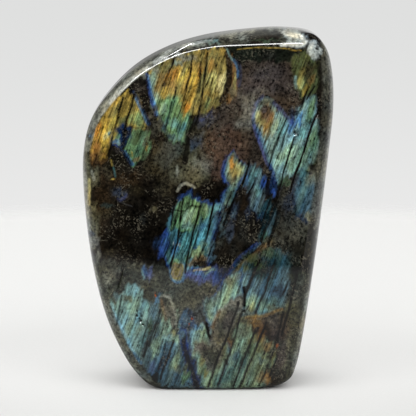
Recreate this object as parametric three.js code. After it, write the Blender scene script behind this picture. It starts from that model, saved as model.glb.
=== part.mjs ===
// A polished labradorite freeform: one stone, ground to a free outline, domed on both faces,
// rounded at the rim, with flat facets along the shoulder, and sawn flat underneath so that it stands.
// Millimetres, +Z up, front face towards -Y, origin under the middle of the bounding box.
import * as THREE from "three";

// The widest section, seen from the front, anticlockwise from the left end of the base.
// Points at or under z = 0 are sawn off by the flat base.
const OUTLINE = [
  [-17, 0], [2, -0.6], [18, -0.1], [25, 0.5], [30.6, 1.7], [34.5, 4.3], [36.8, 9.6], [39.2, 20.5],
  [45, 58], [50.2, 99], [51.9, 117], [51.4, 131], [49, 141],
  [43.6, 147.2], [31.5, 149.2], [15, 148.2], [-2, 145.6], [-16, 141.3], [-29.8, 133.8],
  [-41.1, 123], [-48.6, 111.6], [-51.7, 98], [-51.4, 78], [-47.5, 49], [-41.7, 28.2],
  [-34.2, 12.6], [-29.7, 6.4], [-25.6, 2.4], [-21.6, 0.5],
];
const MIDDLE = new THREE.Vector2(2, 78); // the point that the rings close in on

// Each face is a shallow dome: its furthest point, and its radius of curvature across and upwards.
const FRONT = { x: 0, z: 30, depth: -23, radiusX: 330, radiusZ: 1000 };
const BACK = { x: 2, z: 42, depth: 24, radiusX: -240, radiusZ: -1050 };

// How far the rim's rounding reaches in from the outline, and how far it reaches along Y,
// to the right, left, top and bottom of the stone.
const FRONT_INSET = { right: 6.5, left: 5, up: 3.4, down: 4 };
const FRONT_REACH = { right: 9, left: 8, up: 5, down: 4 };
const BACK_INSET = { right: 11, left: 12, up: 9, down: 5 };
const BACK_REACH = { right: 13, left: 14, up: 11, down: 5 };
const MOST_REACH = 0.94; // the share of the rim's thickness that both roundings may take

// Ground facets: the point on the front face, and how far behind it, that the facet passes through,
// the way it looks in the plane of the face (0 is right, 90 is up), and its tilt away from the face.
const FACETS = [
  { x: 22, z: 144.4, behind: 0, heading: 91, tilt: 52 },
  { x: 32, z: 144.4, behind: 0, heading: 86, tilt: 52 },
  { x: 22, z: 146.8, behind: 4.5, heading: 92, tilt: 79 },
  { x: -3, z: 142.3, behind: 0, heading: 101, tilt: 50 },
  { x: -20, z: 137, behind: 0, heading: 118, tilt: 48 },
  { x: -20, z: 138.4, behind: 4, heading: 117, tilt: 74 },
  { x: -32, z: 128.6, behind: 0, heading: 132, tilt: 46 },
  { x: -43, z: 116.4, behind: 0, heading: 147, tilt: 45 },
  { x: 43, z: 141, behind: 0, heading: 46, tilt: 46 },
];
const FACET_EDGE = 0.4; // how softly a facet meets its neighbours

// Rings of the surface: their number of points at the rim, and where they lie.
const RIM_POINTS = 150;
const FEWEST_POINTS = 6;
const FACE_RINGS = [0.12, 0.3, 0.5, 0.68, 0.82, 0.91, 0.96];
const ROUNDING_RINGS = [0, 16, 32, 48, 62, 76, 90];
const WALL_RINGS = [1 / 3, 2 / 3];

const outline = new THREE.CatmullRomCurve3(
  OUTLINE.map(([x, z]) => new THREE.Vector3(x, 0, z)), true, "centripetal",
);
outline.arcLengthDivisions = 1500;

function domeDepth(dome, x, z) {
  return dome.depth + (x - dome.x) ** 2 / (2 * dome.radiusX) + (z - dome.z) ** 2 / (2 * dome.radiusZ);
}

// Passes smoothly from one stated size to the next, round the middle of the stone.
function towards(sizes, spoke) {
  const side = spoke.x > 0 ? sizes.right : sizes.left;
  const end = spoke.y > 0 ? sizes.up : sizes.down;
  return (side * spoke.x ** 2 + end * spoke.y ** 2) / spoke.lengthSq();
}

// Everything that the rings need to know about the rim at the share u of its length.
function rimAt(u) {
  const place = outline.getPointAt(u % 1);
  const along = outline.getTangentAt(u % 1);
  const spot = new THREE.Vector2(place.x, Math.max(0, place.z));
  const normal = new THREE.Vector2(along.z, -along.x).normalize();
  const spoke = spot.clone().sub(MIDDLE);
  const thickness = domeDepth(BACK, spot.x, spot.y) - domeDepth(FRONT, spot.x, spot.y);
  const frontReach = towards(FRONT_REACH, spoke);
  const backReach = towards(BACK_REACH, spoke);
  const fit = Math.min(1, (MOST_REACH * thickness) / (frontReach + backReach));
  return {
    spoke,
    clearance: spoke.dot(normal),
    front: { dome: FRONT, inset: towards(FRONT_INSET, spoke), reach: frontReach * fit },
    back: { dome: BACK, inset: towards(BACK_INSET, spoke), reach: -backReach * fit },
  };
}

// A point on a face (share of the way from the middle to where the rounding starts).
function onFace(rim, side, share) {
  const scale = share * (1 - side.inset / rim.clearance);
  const x = MIDDLE.x + rim.spoke.x * scale;
  const z = MIDDLE.y + rim.spoke.y * scale;
  return new THREE.Vector3(x, domeDepth(side.dome, x, z), z);
}

// A point on a rounding: 0 degrees is the edge of the face and 90 degrees is the widest section.
function onRounding(rim, side, degrees) {
  const angle = THREE.MathUtils.degToRad(degrees);
  const scale = 1 - (side.inset * (1 - Math.sin(angle))) / rim.clearance;
  const x = MIDDLE.x + rim.spoke.x * scale;
  const z = MIDDLE.y + rim.spoke.y * scale;
  return new THREE.Vector3(x, domeDepth(side.dome, x, z) + side.reach * (1 - Math.cos(angle)), z);
}

function onWall(rim, share) {
  return onRounding(rim, rim.front, 90).lerp(onRounding(rim, rim.back, 90), share);
}

const facets = FACETS.map(({ x, z, behind, heading, tilt }) => {
  const [turn, lean] = [heading, tilt].map(THREE.MathUtils.degToRad);
  const normal = new THREE.Vector3(
    Math.cos(turn) * Math.sin(lean), -Math.cos(lean), Math.sin(turn) * Math.sin(lean),
  );
  return { normal, offset: normal.dot(new THREE.Vector3(x, domeDepth(FRONT, x, z) + behind, z)) };
});

// Grinds a point down to every facet that it stands above.
function grind(point) {
  for (const { normal, offset } of facets) {
    const above = normal.dot(point) - offset;
    point.addScaledVector(normal, -FACET_EDGE * Math.log1p(Math.exp(above / FACET_EDGE)));
  }
  return point;
}

// The rings in order, from the middle of the front face over the rim to the middle of the back face.
const faceRing = (name, share) => ({
  points: Math.max(FEWEST_POINTS, Math.round(RIM_POINTS * share)),
  place: (rim) => onFace(rim, rim[name], share),
});
const roundingRing = (name, degrees) => ({
  points: RIM_POINTS,
  place: (rim) => onRounding(rim, rim[name], degrees),
});
const rings = [
  ...FACE_RINGS.map((share) => faceRing("front", share)),
  ...ROUNDING_RINGS.map((degrees) => roundingRing("front", degrees)),
  ...WALL_RINGS.map((share) => ({ points: RIM_POINTS, place: (rim) => onWall(rim, share) })),
  ...[...ROUNDING_RINGS].reverse().map((degrees) => roundingRing("back", degrees)),
  ...[...FACE_RINGS].reverse().map((share) => faceRing("back", share)),
];

// Joins one ring to the next, or to a single point, with triangles that face outwards.
function stitch(a, b, index) {
  let [i, j] = [0, 0];
  while (i < a.count || j < b.count) {
    const stepA = j >= b.count || (i < a.count && (i + 1) / a.count <= (j + 1) / b.count);
    const [p, q] = [a.start + (i % a.count), b.start + (j % b.count)];
    if (stepA) {
      i += 1;
      if (a.count > 1) index.push(p, q, a.start + (i % a.count));
    } else {
      j += 1;
      if (b.count > 1) index.push(p, q, b.start + (j % b.count));
    }
  }
}

function stoneGeometry() {
  const points = [];
  const index = [];
  const addRing = (count, place) => {
    const start = points.length;
    for (let i = 0; i < count; i++) points.push(grind(place(rimAt(i / count))));
    return { start, count };
  };
  let last = addRing(1, () => new THREE.Vector3(MIDDLE.x, domeDepth(FRONT, MIDDLE.x, MIDDLE.y), MIDDLE.y));
  for (const ring of rings) {
    const next = addRing(ring.points, ring.place);
    stitch(last, next, index);
    last = next;
  }
  const end = addRing(1, () => new THREE.Vector3(MIDDLE.x, domeDepth(BACK, MIDDLE.x, MIDDLE.y), MIDDLE.y));
  stitch(last, end, index);
  const geometry = new THREE.BufferGeometry().setFromPoints(points).setIndex(index);
  geometry.computeBoundingBox();
  const centre = geometry.boundingBox.getCenter(new THREE.Vector3());
  return geometry.translate(-centre.x, -centre.y, -geometry.boundingBox.min.z);
}

const polishedStone = new THREE.MeshStandardMaterial({ color: 0x3a403c, roughness: 0.12, metalness: 0 });
const stone = new THREE.Mesh(stoneGeometry(), polishedStone);
stone.name = "stone";

const freeform = new THREE.Group();
freeform.name = "labradorite_freeform";
freeform.add(stone);

export default freeform;
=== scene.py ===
import math
from collections import namedtuple

import bpy
import numpy as np
from bpy.props import FloatProperty, FloatVectorProperty, IntProperty, PointerProperty
from bpy.types import Operator, Panel, PropertyGroup
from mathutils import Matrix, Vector


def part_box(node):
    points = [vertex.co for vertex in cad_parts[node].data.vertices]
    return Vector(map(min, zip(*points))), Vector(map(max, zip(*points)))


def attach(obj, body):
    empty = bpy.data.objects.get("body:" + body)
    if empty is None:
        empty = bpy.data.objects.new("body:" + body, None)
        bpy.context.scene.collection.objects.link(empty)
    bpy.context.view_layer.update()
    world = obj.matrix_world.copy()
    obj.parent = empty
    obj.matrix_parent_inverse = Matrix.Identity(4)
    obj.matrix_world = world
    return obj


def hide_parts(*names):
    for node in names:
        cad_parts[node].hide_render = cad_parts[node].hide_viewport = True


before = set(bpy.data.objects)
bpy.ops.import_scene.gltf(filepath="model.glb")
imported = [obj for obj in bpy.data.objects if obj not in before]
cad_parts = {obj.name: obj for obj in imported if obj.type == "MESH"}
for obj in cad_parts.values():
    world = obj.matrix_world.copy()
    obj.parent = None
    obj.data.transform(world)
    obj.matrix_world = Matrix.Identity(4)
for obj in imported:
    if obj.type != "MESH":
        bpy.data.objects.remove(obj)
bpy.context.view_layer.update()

bl_info = {
    "name": "Labradorite Freeform",
    "version": (1, 0, 0),
    "blender": (4, 5, 0),
    "location": "3D View > Sidebar > Labradorite",
    "description": "A polished labradorite stone with its coloured flash, and the stage it stands on",
    "category": "Add Mesh",
}

# ---------------------------------------------------------------- the cut of the stone (mm)
# The widest section seen from the front, anticlockwise from the left end of the base.
OUTLINE = [
    (-17, 0), (2, -0.6), (18, -0.1), (25, 0.5), (30.6, 1.7), (34.5, 4.3), (36.8, 9.6), (39.2, 20.5),
    (45, 58), (50.2, 99), (51.9, 117), (51.4, 131), (49, 141),
    (43.6, 147.2), (31.5, 149.2), (15, 148.2), (-2, 145.6), (-16, 141.3), (-29.8, 133.8),
    (-41.1, 123), (-48.6, 111.6), (-51.7, 98), (-51.4, 78), (-47.5, 49), (-41.7, 28.2),
    (-34.2, 12.6), (-29.7, 6.4), (-25.6, 2.4), (-21.6, 0.5),
]
MIDDLE = (2, 78)  # the point that every section is drawn round
# Each face is a shallow dome: where its crown stands and how it curves.
FRONT_DOME = dict(x=0, z=30, depth=-23, radius_x=330, radius_z=1000)
BACK_DOME = dict(x=2, z=42, depth=24, radius_x=-240, radius_z=-1050)
# The rounded edges: how far each takes in the face (inset) and the side (reach), in four directions.
FRONT_INSET = dict(right=6.5, left=5, up=3.4, down=4)
FRONT_REACH = dict(right=9, left=8, up=5, down=4)
BACK_INSET = dict(right=11, left=12, up=9, down=5)
BACK_REACH = dict(right=13, left=14, up=11, down=5)
MOST_REACH = 0.94  # share of the thickness that both edges together may take
# Ground facets: x, z on the front face, how far behind it, heading and tilt in degrees.
FACETS = [
    (22, 144.4, 0, 91, 52), (32, 144.4, 0, 86, 52), (22, 146.8, 4.5, 92, 79), (-3, 142.3, 0, 101, 50),
    (-20, 137, 0, 118, 48), (-20, 138.4, 4, 117, 74), (-32, 128.6, 0, 132, 46),
    (-43, 116.4, 0, 147, 45), (43, 141, 0, 46, 46),
]
FACET_EDGE = 0.4  # how softly a facet runs into the surface

# How far the mesh runs, to set the number of its points: round the widest section, then from the middle of
# the front over the edge, across the side, over the back's edge and to the middle of the back.
AROUND, FRONT_RUN, EDGE_RUN, SIDE_RUN, BACK_EDGE_RUN, BACK_RUN = 430, 64, 13, 18, 20, 60
EDGE_STEP = 1.4  # points on the front's edge stand this many times further apart than on its face
FACE_END = 0.995  # the front's face stops this close to its edge, so that the first ring of the edge isn't doubled
MM = 1000.0  # millimetres in a metre

# ---------------------------------------------------------------- looks
LEAN = math.radians(20)  # the lamellae lean this far to the right of upright
GROUND_LINES, SIDE_LINES = 0.15, 0.3  # how strongly the lamella lines show where no patch is laid
# painted shade: the stone is laid darker towards its foot, where less light reaches it
FOOT_SHADE, FOOT_LOW, FOOT_HIGH = 0.22, 6, 46  # the stone darkens by this share between these heights (mm)
TINT_GAIN = 0.87  # the lamps brighten every tint, so it is laid this much darker
FLASH_GAIN = 0.35  # and the flash this much lighter again, to make up for its dark lines
# The table's reflection brightens the front by this much below this height (mm), so the tints are darker there.
VEIL, VEIL_TOP = 0.016, 53
BACK_SHADE = 0.7  # the back's ground beside that of the sides
BANDING, CLOUDING = 0.25, 0.5  # shares by which the flash varies between lamellae, and the ground in clouds
# Shares by which the ground, and the flash between lamellae, turn warmer: redder and less blue.
DRIFT, TINGE = 0.14 * np.array([1, 0.2, -1]), 0.16 * np.array([1, 0.1, -1])

# The stone's fine grain, and its sets of dark lines: spacing beside the usual, greatest width (mm), how much of
# each line shows, a start that keeps the sets apart, and darkness.
STONE_GRAIN = {"Grain Scale": 820.0, "Needle Scale": 1300.0, "Speck Scale": 900.0}
LINE_SETS = [(1.4, 0.42, 0.75, 3, 0.55), (0.55, 0.2, 0.95, 37, 0.66), (0.26, 0.12, 1.1, 71, 0.58)]
STREAKING, FLASH_STREAKING = 0.8, 1.9  # how much the streaks vary the ground, and how much more the flash
MOTTLING, FLASH_MOTTLING = 1.7, -1.7  # the least mottle, and how much less of it the flash has
CONTRAST, DEEPEST = 1.5, 0.08  # of streaks and mottle together, and the darkest that they make a tint
SPECK_SHADE = 0.3  # share by which a speck darkens its place
NEEDLE_TINT, HOLLOW_TINT = (0.075, 0.068, 0.05, 1), (0.0035, 0.003, 0.0025, 1)
METAL = 0.25  # how metallic the flash is
ROUGH, STREAK_ROUGH, HOLLOW_ROUGH = 0.34, 0.12, 0.3  # of the stone under its polish, and what is added to it
HOLLOW_DULL = 0.9  # share of the polish that is missing in the hollows
GROOVE, GROOVE_DEPTH = 0.2, 0.00004  # strength and depth (m) of the relief of the dark lines
POLISH = {"Coat Roughness": 0.03, "Coat IOR": 1.56, "Specular IOR Level": 0.0}

# The pale table and room, as they are seen and as the polish mirrors them.
TABLE_TINTS, TABLE_SHADE = [(0.80, 0.80, 0.785, 1), (0.835, 0.835, 0.82, 1)], (0.25, 0.25, 0.245, 1)
TABLE_MATT = {"Roughness": 0.75, "Specular IOR Level": 0.2}
TABLE_FADE = (0.86, 0.99)  # shares of the table's radius between which its edge fades away
WALL_TINTS, ROOM_TINT = [(0.84, 0.84, 0.835, 1), (0.735, 0.74, 0.735, 1)], (0.57, 0.57, 0.57, 1)
# Soft lights: place and size in metres, the setting for its power, and whether it shows only in the polish.
LIGHTS = {
    "key_light": ((-0.5, -1.0, 1.0), (2.2, 1.6), "key_power", False),
    "fill_light": ((0.9, -0.9, 0.85), (0.8, 0.8), "fill_power", False),
    "top_light": ((0.0, 0.0, 1.5), (1.6, 1.2), "top_power", False),
    "back_light": ((-0.2, 1.2, 0.9), (2.4, 0.8), "fill_power", False),
    "edge_light": ((-0.22, -0.99, 0.97), (1.7, 0.36), "edge_power", True),
    "crest_light": ((-0.5, 0.55, 1.3), (0.45, 0.12), "crest_power", True),
}
LENS_DROP = 0.0013  # the camera looks this far below the stone's middle (m)

# ---------------------------------------------------------------- painted markings (mm)
# A Dab is a soft oval touch, and the plain rows below are Dabs. A Patch is an area of one tint; its bands are
# (tint, mm from its edge), from the edge inwards, and lines is how strongly the lamella lines show on it. A Stroke
# is a soft line, with half its width. A Glaze is a soft oval that lightens or darkens what lies under it.
Dab = namedtuple("Dab", "tint x z rx rz strength lean", defaults=(0,))
Patch = namedtuple("Patch", "tint outline soft lines bands", defaults=(0.5, 0.8, ()))
Stroke = namedtuple("Stroke", "tint half points soft strength", defaults=(0.5, 1.0))
Glaze = namedtuple("Glaze", "gain x z rx rz lean", defaults=(0,))

FRONT_GROUND = [
    # brown above, almost black on the left, mid grey below
    Patch("bark", [
        (-12, 92), (-6, 102), (-7, 110), (-4, 118), (8, 122), (12, 140), (36, 140), (40, 118), (33, 110), (26, 96),
        (18, 84), (8, 84), (-2, 84)], 3, 0.25),
    Patch("soot", [
        (-55, 100), (-40, 98), (-28, 95), (-20, 92), (-12, 86), (-10, 80), (-16, 62), (-20, 54.5), (-32, 53),
        (-43, 53), (-55, 54)], 3, 0.15),
    ("umber", -34, 89, 9, 5, 0.85), ("umber", -44, 80, 4, 20, 0.7),
    Patch("loam", [
        (-31, 112), (-24, 112), (-13, 108.5), (-5, 113), (2, 108), (-3, 98), (-9, 90), (-14, 86), (-22, 89),
        (-27, 93), (-26, 100)], 2.5, 0.4),
    Patch("ash", [
        (19, 70), (24, 66), (27, 70), (31, 90), (38, 90), (42, 74), (46, 74), (43, 48), (34, 46), (20, 52),
        (22, 58)], 2, 0.3),
    Patch("stone", [
        (-55, 53.5), (-43, 54.5), (-32, 53.6), (-20, 52.6), (-4, 50), (6, 45), (20, 40), (34, 50), (46, 46), (46, -5),
        (-55, -5)], 1.2, 0.2),
]

FRONT = [
    # brown part: a greyer top, a dark seam under the rim, red-brown and pale touches
    ("taupe", 28, 129, 9, 8, 0.7), ("taupe", 18, 127, 5, 6, 0.6), ("soot", 30, 124, 4, 3, 0.5),
    ("soot", 35, 119.6, 3, 2, 0.4, 40), ("russet", 5, 103, 8, 7, 0.65), ("russet", 13, 100, 5, 6, 0.35),
    ("russet", 9, 108, 4, 4, 0.4), ("clay", 18, 116.6, 3.6, 5.4, 0.85, 15), ("clay", 15, 121.6, 3.4, 2.6, 0.45, 20),
    ("clay", 22, 124.4, 3.4, 1.8, 0.3), ("clay", 15.4, 112.6, 4, 5, 0.85, 15), ("clay", 17, 121, 3, 4, 0.5, 15),
    ("soot", 19.4, 99.6, 3.4, 5.4, 0.55, 20),
    Patch("bottle", [
        (8, 142.5), (20, 144), (38, 143), (46, 139), (45, 135.4), (33, 136.6), (20, 136.4), (13.6, 135.8),
        (10.6, 138)], 0.9, 0.2),
    ("ash", 25, 138.6, 3, 1.6, 0.7), ("slate", -1, 113.4, 5, 3, 0.5, -15), ("slate", -4.6, 104.4, 3, 3.4, 0.75, 20),
    ("stone", -3, 106.6, 2.4, 2, 0.5), ("ink", 2, 87, 9, 4.6, 0.9), ("ink", 0, 82, 9, 4, 0.9),
    ("ink", -15, 82, 4, 4, 0.7), ("russet", 3.6, 92.6, 4.5, 4, 0.45),
    # grey-green part between the gold sheets and the dark left side
    ("stone", -14.6, 101, 4.6, 5, 0.75, 10), ("stone", -18, 96.6, 4, 4, 0.55, 10), ("khaki", -13, 91.4, 3, 4, 0.5, 5),
    ("khaki", -7, 90.6, 5, 5, 0.75, 10), ("clay", -2.6, 94, 4, 4, 0.75, 10), ("khaki", -3.4, 90.4, 4, 4, 0.6, 10),
    ("bone", -12.4, 91.8, 0.6, 2.6, 0.4, 2),
    Stroke("bone", 0.35, [(-12.8, 83.8), (-11.4, 86), (-9.4, 86.9), (-7.4, 86.4), (-5.6, 85.6)], 0.5, 0.6),
    ("loam", -16, 87, 5, 3, 0.5),
    # dark left side
    ("ink", -23, 84, 7, 6, 0.85), ("ink", -29, 72, 9, 9, 0.95), ("ink", -37, 63, 8, 6, 0.9),
    ("ink", -22, 66, 6, 8, 0.85), ("ink", -28, 60, 8, 5, 0.85), ("ink", -20, 78, 3, 4, 0.4),
    ("copper", -45, 96.4, 4, 2.4, 0.5), ("khaki", -47, 89, 2.6, 5, 0.7), ("khaki", -47, 70, 2.6, 8, 0.75, 5),
    ("loam", -40.6, 91, 4, 3, 0.6), ("loam", -42, 75, 3, 4, 0.6), ("loam", -41, 57, 3, 2, 0.5),
    ("slate", -36.4, 83, 3.4, 2.2, 0.6), ("violet", -35, 80.6, 2.4, 1.1, 0.4, -20),
    ("deepteal", -41.5, 77.3, 3, 1.2, 0.4, 10), ("ash", -26.6, 71.6, 1.4, 2.4, 0.7, 10),
    ("khaki", -22.6, 75.8, 1.3, 1.7, 0.55), ("loam", -30, 84, 3.6, 2, 0.6), ("loam", -18, 84, 3.6, 3, 0.6, 20),
    Glaze((1.2, 1.15, 1.15), -38, 64, 6, 6), Glaze((0.72, 0.75, 0.75), -21, 94, 5, 4),
    ("navy", -20.8, 62, 2.4, 3.4, 0.8, 30), ("ink", -23, 57, 8, 4, 0.95),
    # right of the black ground, down to the lower right sheet
    ("soot", 26, 80, 3, 4, 0.8, 10), ("navy", 26.6, 84.4, 3, 3, 0.8, 10), ("slate", 34, 80, 3, 6, 0.65, 20),
    ("soot", 30, 74, 2.4, 4, 0.6, 20), ("stone", 37, 68, 5, 5, 0.55, 40), ("stone", 42.6, 68, 2.6, 5, 0.6, 15),
    Glaze((0.75, 0.75, 0.7), 42, 62, 4, 14, 8),
    ("soot", 37, 59.6, 3, 3, 0.5, 15), ("khaki", 42, 60, 2, 4, 0.5, 10),
    # grey part below
    ("smoke", -43, 46, 2.4, 4, 0.45, 30), ("clay", -38, 49, 4, 2.6, 0.45), ("ash", -33.6, 49.6, 2.6, 4, 0.7, 20),
    ("ash", -21, 51.4, 3, 2, 0.6), ("ash", -36.4, 43.6, 2.4, 4, 0.5, 25), ("ash", 36, 46, 3, 10, 0.6, 10),
    ("ash", 36, 30, 2.4, 8, 0.5, 10),

    # the gold sheet on the upper left, and its teal foot
    Patch("brass", [
        (-25, 133.6), (-24.6, 127.5), (-24, 123.5), (-22.7, 119.6), (-21.4, 115.2), (-19.5, 110.8), (-16, 107),
        (-13, 105), (-10, 105.6), (-8.8, 109.3), (-7, 113.6), (-4.6, 115.6), (-1.4, 116.8), (2, 118.4), (5, 120.4),
        (6.6, 124), (7.4, 129), (7.9, 136), (8, 142), (-0.2, 142), (-9, 140), (-15.5, 138.4),
        (-20.4, 136.6)], 0.8, 0.6),
    ("olive", -18, 134, 6, 3.4, 0.85, 10), ("sage", -22.4, 128.6, 1.6, 4, 0.8, 10),
    ("sage", -21.4, 122, 1.4, 4, 0.7, 15), ("olive", -4, 138.4, 6, 3, 0.8, 5), ("olive", 4, 138, 4, 3.4, 0.75, 5),
    ("smoke", -10.6, 138.4, 5, 1.5, 0.85, 10), ("mist", -12.4, 135.8, 2.6, 1.1, 0.6, -15),
    ("soot", -14, 137.2, 1.3, 1.4, 0.7, 10), ("smoke", -21.6, 133.4, 2.4, 2, 0.5, 30),
    ("copper", -18.6, 129, 3, 5, 0.6, 20), ("amber", -16.6, 131, 1, 3.4, 0.7, 22),
    ("amber", -13.6, 131.4, 1.6, 3, 0.6, 20), ("gold", -10.4, 131.4, 2.2, 3.6, 0.85, 15),
    ("straw", -10.6, 132.4, 0.9, 2.6, 0.4, 18), ("gold", -5.6, 129.4, 2.2, 4, 0.7, 18),
    ("copper", -14.6, 127, 1.8, 2.6, 0.5, 20), ("gold", -18.6, 123.4, 2, 2.4, 0.45, 20),
    ("honey", -6.6, 123, 2.6, 3, 0.7, 20), ("olive", -2.4, 127, 1.8, 8, 0.75, 17),
    ("amber", -3.4, 134, 1.4, 3, 0.45, 10), ("amber", 1.2, 135.6, 1.4, 3.2, 0.5, 8),
    ("lime", 2, 129.6, 2.4, 4.6, 0.85, 12), ("straw", 5.8, 127.4, 2, 4.8, 0.85, 8),
    ("straw", 4.8, 130.5, 0.7, 2.6, 0.3, 10), ("olive", 5.6, 134.4, 1.8, 3, 0.6, 5),
    ("olive", 4.6, 121.6, 3, 2, 0.8, -20), ("moss", 1.6, 119.6, 3, 1.6, 0.6, -20),
    ("moss", -1.6, 118.6, 2.6, 2.6, 0.6, -20), ("green", 0.2, 121.6, 1.4, 2.6, 0.5, 20),
    Patch("green", [
        (-21.4, 120.6), (-18, 121), (-14, 122.4), (-11, 120.4), (-10, 116), (-7, 114), (-9, 108.3), (-10, 105),
        (-13, 104.6), (-16, 106), (-18.7, 110.8), (-20.5, 115)], 1.8, 0.6),
    ("sage", -18.6, 117.6, 1.8, 2.6, 0.7, 20), ("moss", -13.6, 117.6, 1.6, 3, 0.45, 20),
    ("cyan", -14.2, 111, 2, 2.6, 0.65, 20), ("teal", -10.4, 109.6, 1.8, 3, 0.85, 20),
    ("teal", -17.4, 111, 1.4, 3, 0.6, 20), ("steel", -13, 106, 3, 1.4, 0.6), ("honey", -9, 118.2, 2.2, 2.8, 0.9, 20),
    ("amber", -8.4, 118.6, 1.4, 1.9, 0.85, 20),
    Stroke("royal", 0.4, [(-25.2, 131.5), (-24.7, 127.6), (-23.9, 123.4), (-22.6, 119.4), (-21.3, 114.6)], 0.7, 0.95),
    Stroke("azure", 0.2, [(-24.5, 131), (-23.9, 127.4), (-23.1, 123.2), (-21.8, 119.2), (-20.7, 115)], 0.7, 0.7),
    Stroke("mist", 0.15, [(-23.6, 131), (-23.1, 127.4), (-22.4, 123.6)], 0.5, 0.5),
    Stroke("navy", 0.5, [(-20, 114.2), (-18.2, 110.4), (-15.8, 106.2)], 0.8, 0.6),
    ("violet", -1, 114.6, 3.4, 0.8, 0.35, -15),
    # the brown seam beside it and the sliver of gold with its blue edge
    Patch("copper", [
        (8.9, 139), (11, 135.6), (12.1, 131), (11.7, 126), (10.7, 122), (8.4, 119.6), (7.7, 124), (9.2, 129),
        (9.2, 134)], 0.9, 0.5),
    ("khaki", 10, 124.4, 1.4, 3.4, 0.7), ("lime", 11.1, 129, 0.6, 4, 0.6),
    Stroke("umber", 0.9, [(8.3, 140), (8.9, 134.5), (8.6, 129), (7.3, 124.5), (5.8, 121)], 0.7, 0.95),
    Stroke("mist", 0.14, [(8, 141.6), (8.9, 139), (10.2, 137.2)], 0.4, 0.8),
    Stroke("azure", 0.2, [(10.4, 137.4), (11.6, 135), (12.2, 132.6), (12.2, 130)], 0.5, 0.75),
    Stroke("navy", 0.5, [(11.8, 136.4), (13, 133.8), (13.1, 130.6), (12.4, 127)], 0.8, 0.55),

    # the dark gap, and the gold fan on the left
    Patch("soot", [
        (-30.5, 128), (-26, 132.5), (-25, 127.5), (-24, 122), (-22, 115), (-19, 109), (-17, 104), (-22, 104),
        (-24, 106), (-24.6, 111.5), (-26, 115.5), (-28.2, 121)], 0.9, 0.3),
    ("bark", -23.8, 115, 1.6, 6, 0.7, 25), ("stone", -21.6, 109.4, 2.2, 4, 0.7, 25),
    ("stone", -22.6, 116, 1.1, 4, 0.6, 20), ("smoke", -26.6, 131, 1.8, 1.2, 0.4, 30),
    ("bark", -27.6, 125, 2, 2.4, 0.5, 25),
    Patch("honey", [
        (-47.6, 107), (-44.2, 112.4), (-41.4, 117.2), (-38.6, 120.6), (-35.6, 123.4), (-33, 124.2), (-30.9, 124),
        (-29.4, 122), (-27.9, 119.3), (-26.6, 116.4), (-25.1, 113.2), (-24.4, 111.4), (-26, 109.4), (-29.4, 108.6),
        (-31.2, 107), (-32, 104.4), (-36, 102.8), (-39.4, 102.8), (-40.4, 100), (-41.2, 97.4), (-44, 96.4),
        (-47.5, 97), (-48.9, 101)], 0.9, 0.5),
    ("olive", -38.6, 117.4, 2.4, 4, 0.85, 30), ("olive", -34, 119, 2, 4, 0.45, 20),
    ("olive", -30, 119.4, 1.6, 4.4, 0.75, 20), ("moss", -35, 112.6, 2.2, 1.8, 0.75, 20),
    ("green", -30.4, 114, 2, 3.4, 0.65, 20), ("green", -27.8, 112.6, 2.4, 3.4, 0.8, 25),
    ("gold", -38.6, 112.6, 1.4, 2.6, 0.5, 20), ("gold", -42, 108.5, 2.2, 4.2, 0.95, 20),
    ("straw", -41.4, 107, 1.9, 1.9, 0.7), ("gold", -42.2, 103.6, 1, 2.2, 0.7, 15),
    ("amber", -45.4, 109, 1.2, 3.8, 0.85, 18), ("copper", -45.4, 101, 2.6, 4, 0.85), ("sienna", -46, 97.6, 2, 2, 0.7),
    ("copper", -43.4, 98, 2.6, 1.3, 0.8, -10), ("mist", -40.9, 106.9, 0.9, 0.85, 0.85),
    ("moss", -41.4, 101.6, 0.9, 1.2, 0.7),
    Patch("soot", [
        (-41, 97.5), (-40, 102), (-37.5, 102.6), (-33.5, 102.5), (-31.8, 100), (-31, 97), (-30, 94), (-34, 90),
        (-38, 92)], 1.2, 0.2),
    ("taupe", -37.6, 100.4, 2, 1.2, 0.5),
    Patch("navy", [
        (-37.6, 108.2), (-36.4, 110.6), (-33.8, 111.3), (-31.4, 109.8), (-30.8, 106.4), (-31.6, 103.4),
        (-33.6, 101.4), (-35.6, 101), (-36.6, 103.6), (-37.6, 105.6)], 1.0, 0.2),
    ("ink", -34.2, 107.8, 1.9, 2, 0.95), ("ink", -34.8, 103.8, 1, 2.4, 0.8, 15),
    ("green", -37.4, 105.4, 1, 1.6, 0.75, 20), ("mist", -37, 103.6, 1.3, 0.9, 0.85, -30),
    ("azure", -38.2, 103.9, 1.1, 1, 0.75), ("royal", -38, 102.3, 1.7, 0.5, 0.8),
    ("steel", -40, 104.6, 0.5, 2, 0.6, 10),
    Stroke("navy", 0.4, [(-30.4, 124), (-28.7, 121.3), (-27.1, 117.4), (-25.3, 113.8), (-24.3, 111.4)], 0.8, 0.75),
    Stroke("azure", 0.22, [(-29.6, 121.6), (-27.6, 117), (-25.8, 113), (-25, 111.4)], 0.6, 0.6),
    Patch("green", [
        (-31.4, 108), (-28, 109.8), (-25.4, 109), (-24.3, 105.6), (-24, 101), (-25.2, 98.4), (-26.8, 96.8),
        (-28.6, 95.4), (-30.2, 94.8), (-31.6, 97), (-33.6, 99.6), (-34.6, 100.4), (-33, 102.4),
        (-31.8, 105)], 0.9, 0.6),
    ("moss", -29.4, 106, 2.4, 3.4, 0.75, 20), ("pine", -28, 100, 3, 3, 0.5, 20),
    ("stone", -26, 107, 1.8, 2.6, 0.5, 10), ("khaki", -25.6, 103.4, 1.2, 2.6, 0.8, 10),
    ("loam", -26, 98, 1.8, 1.8, 0.7, 20), ("honey", -25.2, 101, 0.5, 1.6, 0.7, 10),
    ("copper", -29.4, 97, 1.6, 1.3, 0.8), ("gold", -31.2, 98.6, 0.2, 1.1, 0.8),
    Stroke("azure", 0.22, [(-34, 100), (-32.6, 97.6), (-30.6, 94.6)], 0.5, 0.7),
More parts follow.
